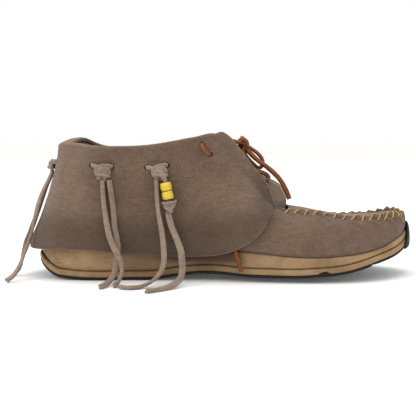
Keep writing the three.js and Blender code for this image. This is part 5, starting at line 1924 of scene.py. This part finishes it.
    def bead(self, name: str, distance: float) -> None:
        """A pony bead, spun round its thong."""
        mesh = bmesh.new()
        mesh.loops.layers.uv.new("UVMap")
        bore, outer, half = 1.95, 4.25, self.bead_height / 2
        middle, wide = (bore + outer) / 2, (outer - bore) / 2
        verts = []
        for k in range(22):
            angle = math.tau * k / 22
            across, up = math.cos(angle), math.sin(angle)
            power = 0.78 if across > 0 else 0.8
            verts.append(mesh.verts.new((
                middle + wide * math.copysign(abs(across) ** power, across), 0,
                half * math.copysign(abs(up) ** 0.7, up))))
        edges = [mesh.edges.new((verts[k], verts[(k + 1) % 22])) for k in range(22)]
        bmesh.ops.spin(mesh, geom=verts + edges, cent=(0, 0, 0), axis=(0, 0, 1), dvec=(0, 0, 0),
                       angle=math.tau, steps=48, use_merge=True, use_duplicate=False)
        bmesh.ops.remove_doubles(mesh, verts=mesh.verts, dist=1e-4)
        turn = Vector((0, 0, -1)).rotation_difference(self.bead_axis).to_matrix().to_4x4()
        centre = self.bead_top + self.bead_axis * distance
        lay = Matrix.Scale(MM, 4) @ Matrix.Translation(centre) @ turn
        bmesh.ops.transform(mesh, matrix=lay, verts=mesh.verts)
        maker = Maker(name + "_glossy")
        maker.mesh.free()
        maker.mesh = mesh
        dress(maker.done(), self.looks.bead, "bead_glass", Body(name), [name])

    def bead_thong(self) -> None:
        """The thong through the beads and the knot that holds them."""
        maker = Maker("bead_thong_tied")
        end = self.bead_lead + 2 * self.bead_height + 1.2
        stem = [self.bead_top - self.bead_axis * 2.5 + Vector((-1.5, 0.5, 0)), self.bead_top,
                self.bead_top + self.bead_axis * end * 0.5,
                self.bead_top + self.bead_axis * (end + 2)]
        maker.sweep(Route(stem, 0.8, Vector((0, -1, 0))), Section(3.2, 2.6, 0.7))
        knot = self.bead_top + self.bead_axis * (end + 3.2)
        turn = Vector((0, 0, -1)).rotation_difference(self.bead_axis).to_matrix().to_4x4()
        spot = Matrix.Translation(knot) @ turn
        wraps = (
            (4.8, ((-3.4, 2.0, 1.4), (-3.6, -1.4, 1.2), (-0.6, -3.2, 1.0), (3.2, -2.4, 0.8),
                   (3.8, 1.0, 1.2))),
            (3.6, ((3.4, -1.4, 1.2), (2.6, -2.9, -0.8), (0.2, -3.0, -2.4), (-1.0, -1.6, -4.4))),
            (3.4, ((-3.4, -1.2, 0.4), (-2.4, -2.6, -1.4), (-0.4, -2.6, -3.4), (0.6, -1.2, -5.4))),
        )
        for width, points in wraps:
            placed = [spot @ Vector(point) for point in points]
            maker.sweep(Route(placed, 0.7, Vector((0, -1, 0.1))), Section(width, 2.0, 0.55))
        maker.ball((3.3, 2.3, 2.9), knot - Vector((0, 0, 0.2)))
        dress(maker.done(), self.looks.thong, "thong_suede", replaced=["bead_thong"])

    def build(self) -> None:
        """Ties everything on."""
        for name, spot, side, holes, size in self.knots:
            self.knot(name, spot, side, holes, size)
        for side, spot in self.laced:
            self.lace_stitch(side, spot)
        self.lace_knot()
        self.bead_thong()
        first = self.bead_lead + self.bead_height / 2
        self.bead("bead_upper", first)
        self.bead("bead_lower", first + self.bead_height + LAST.seat)


# ---------------------------------------------------------------- studio
@dataclass(frozen=True)
class Studio:
    """Camera, floor and soft light."""

    distance: float = 0.7
    height: float = 0.115
    aside: float = -0.01
    pitch: float = 5.17
    lens: float = 77.1

    def camera(self) -> None:
        """The camera, square to the outer side and a little above."""
        data = bpy.data.cameras.new("camera")
        data.lens, data.sensor_width = self.lens, 36
        data.clip_start, data.clip_end = 0.05, 20
        seen = bpy.data.objects.new("camera", data)
        seen.location = (self.aside, -self.distance, self.height)
        seen.rotation_euler = (math.radians(90 - self.pitch), 0, 0)
        bpy.context.scene.collection.objects.link(seen)
        bpy.context.scene.camera = seen

    def lamp(self, name: str, place: Point, aim: Point, size: float, power: float) -> None:
        """A square soft light."""
        data = bpy.data.lights.new(name, "AREA")
        data.size, data.energy = size, power
        lamp = bpy.data.objects.new(name, data)
        lamp.location = place
        lamp.rotation_euler = (Vector(aim) - Vector(place)).to_track_quat("-Z", "Y").to_euler()
        bpy.context.scene.collection.objects.link(lamp)

    def floor(self) -> None:
        """A plain pale floor that reaches past every view."""
        mesh = bmesh.new()
        bmesh.ops.create_grid(mesh, x_segments=1, y_segments=1, size=6)
        data = bpy.data.meshes.new("floor")
        mesh.to_mesh(data)
        mesh.free()
        piece = bpy.data.objects.new("floor", data)
        kit = Shader("pale_floor", {"Roughness": 0.9, "Specular IOR Level": 0.1,
                                    "Emission Color": (1, 1, 1, 1), "Emission Strength": 0.06})
        cloud = kit.cloud(kit.place(), 3, 2)
        colour = kit.blend(cloud, srgb(244, 243, 241), srgb(250, 249, 248))
        piece.data.materials.append(kit.finish(colour, cloud, 0.0001))
        bpy.context.scene.collection.objects.link(piece)
        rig.stage(piece)

    def light(self) -> None:
        """A bright room with a large lamp overhead and a weaker one at the side."""
        world = bpy.data.worlds.new("room")
        world.use_nodes = True
        world.node_tree.nodes["Background"].inputs["Color"].default_value = (1, 1, 1, 1)
        world.node_tree.nodes["Background"].inputs["Strength"].default_value = 1.0
        bpy.context.scene.world = world
        bpy.context.scene.view_settings.view_transform = "Standard"
        self.lamp("overhead", (0.05, 0.1, 1.1), (0, 0, 0.05), 0.9, 6)
        self.lamp("left", (-0.9, -0.7, 0.6), (-0.02, 0, 0.05), 0.6, 3)


def dress_nodes(looks: Looks) -> None:
    """Gives the hidden nodes that stay a finish of their own."""
    for name, look in (("insole_board", looks.inner_foam), ("heel_counter", looks.inner_foam)):
        piece = frame["nodes"][name]
        piece.data.materials.clear()
        piece.data.materials.append(look)


def main() -> None:
    """Builds the camera and the cords first, then the rest of the shoe."""
    logging.basicConfig(level=logging.INFO, format="%(message)s")
    studio = Studio()
    studio.camera()
    looks = Looks()
    Cords(looks).build()
    cuff = Cuff(looks)
    ties = Ties(looks, cuff)
    cuff.build(ties.holes())
    ties.build()
    Upper(looks).build()
    Sole(looks).build()
    dress_nodes(looks)
    studio.floor()
    studio.light()
    with open("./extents.json", "w", encoding="utf-8") as sizes:
        json.dump({"cad": CAD_BOX, "visual": [list(corner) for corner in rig.bounds()]}, sizes)


if __name__ == "__main__":
    main()
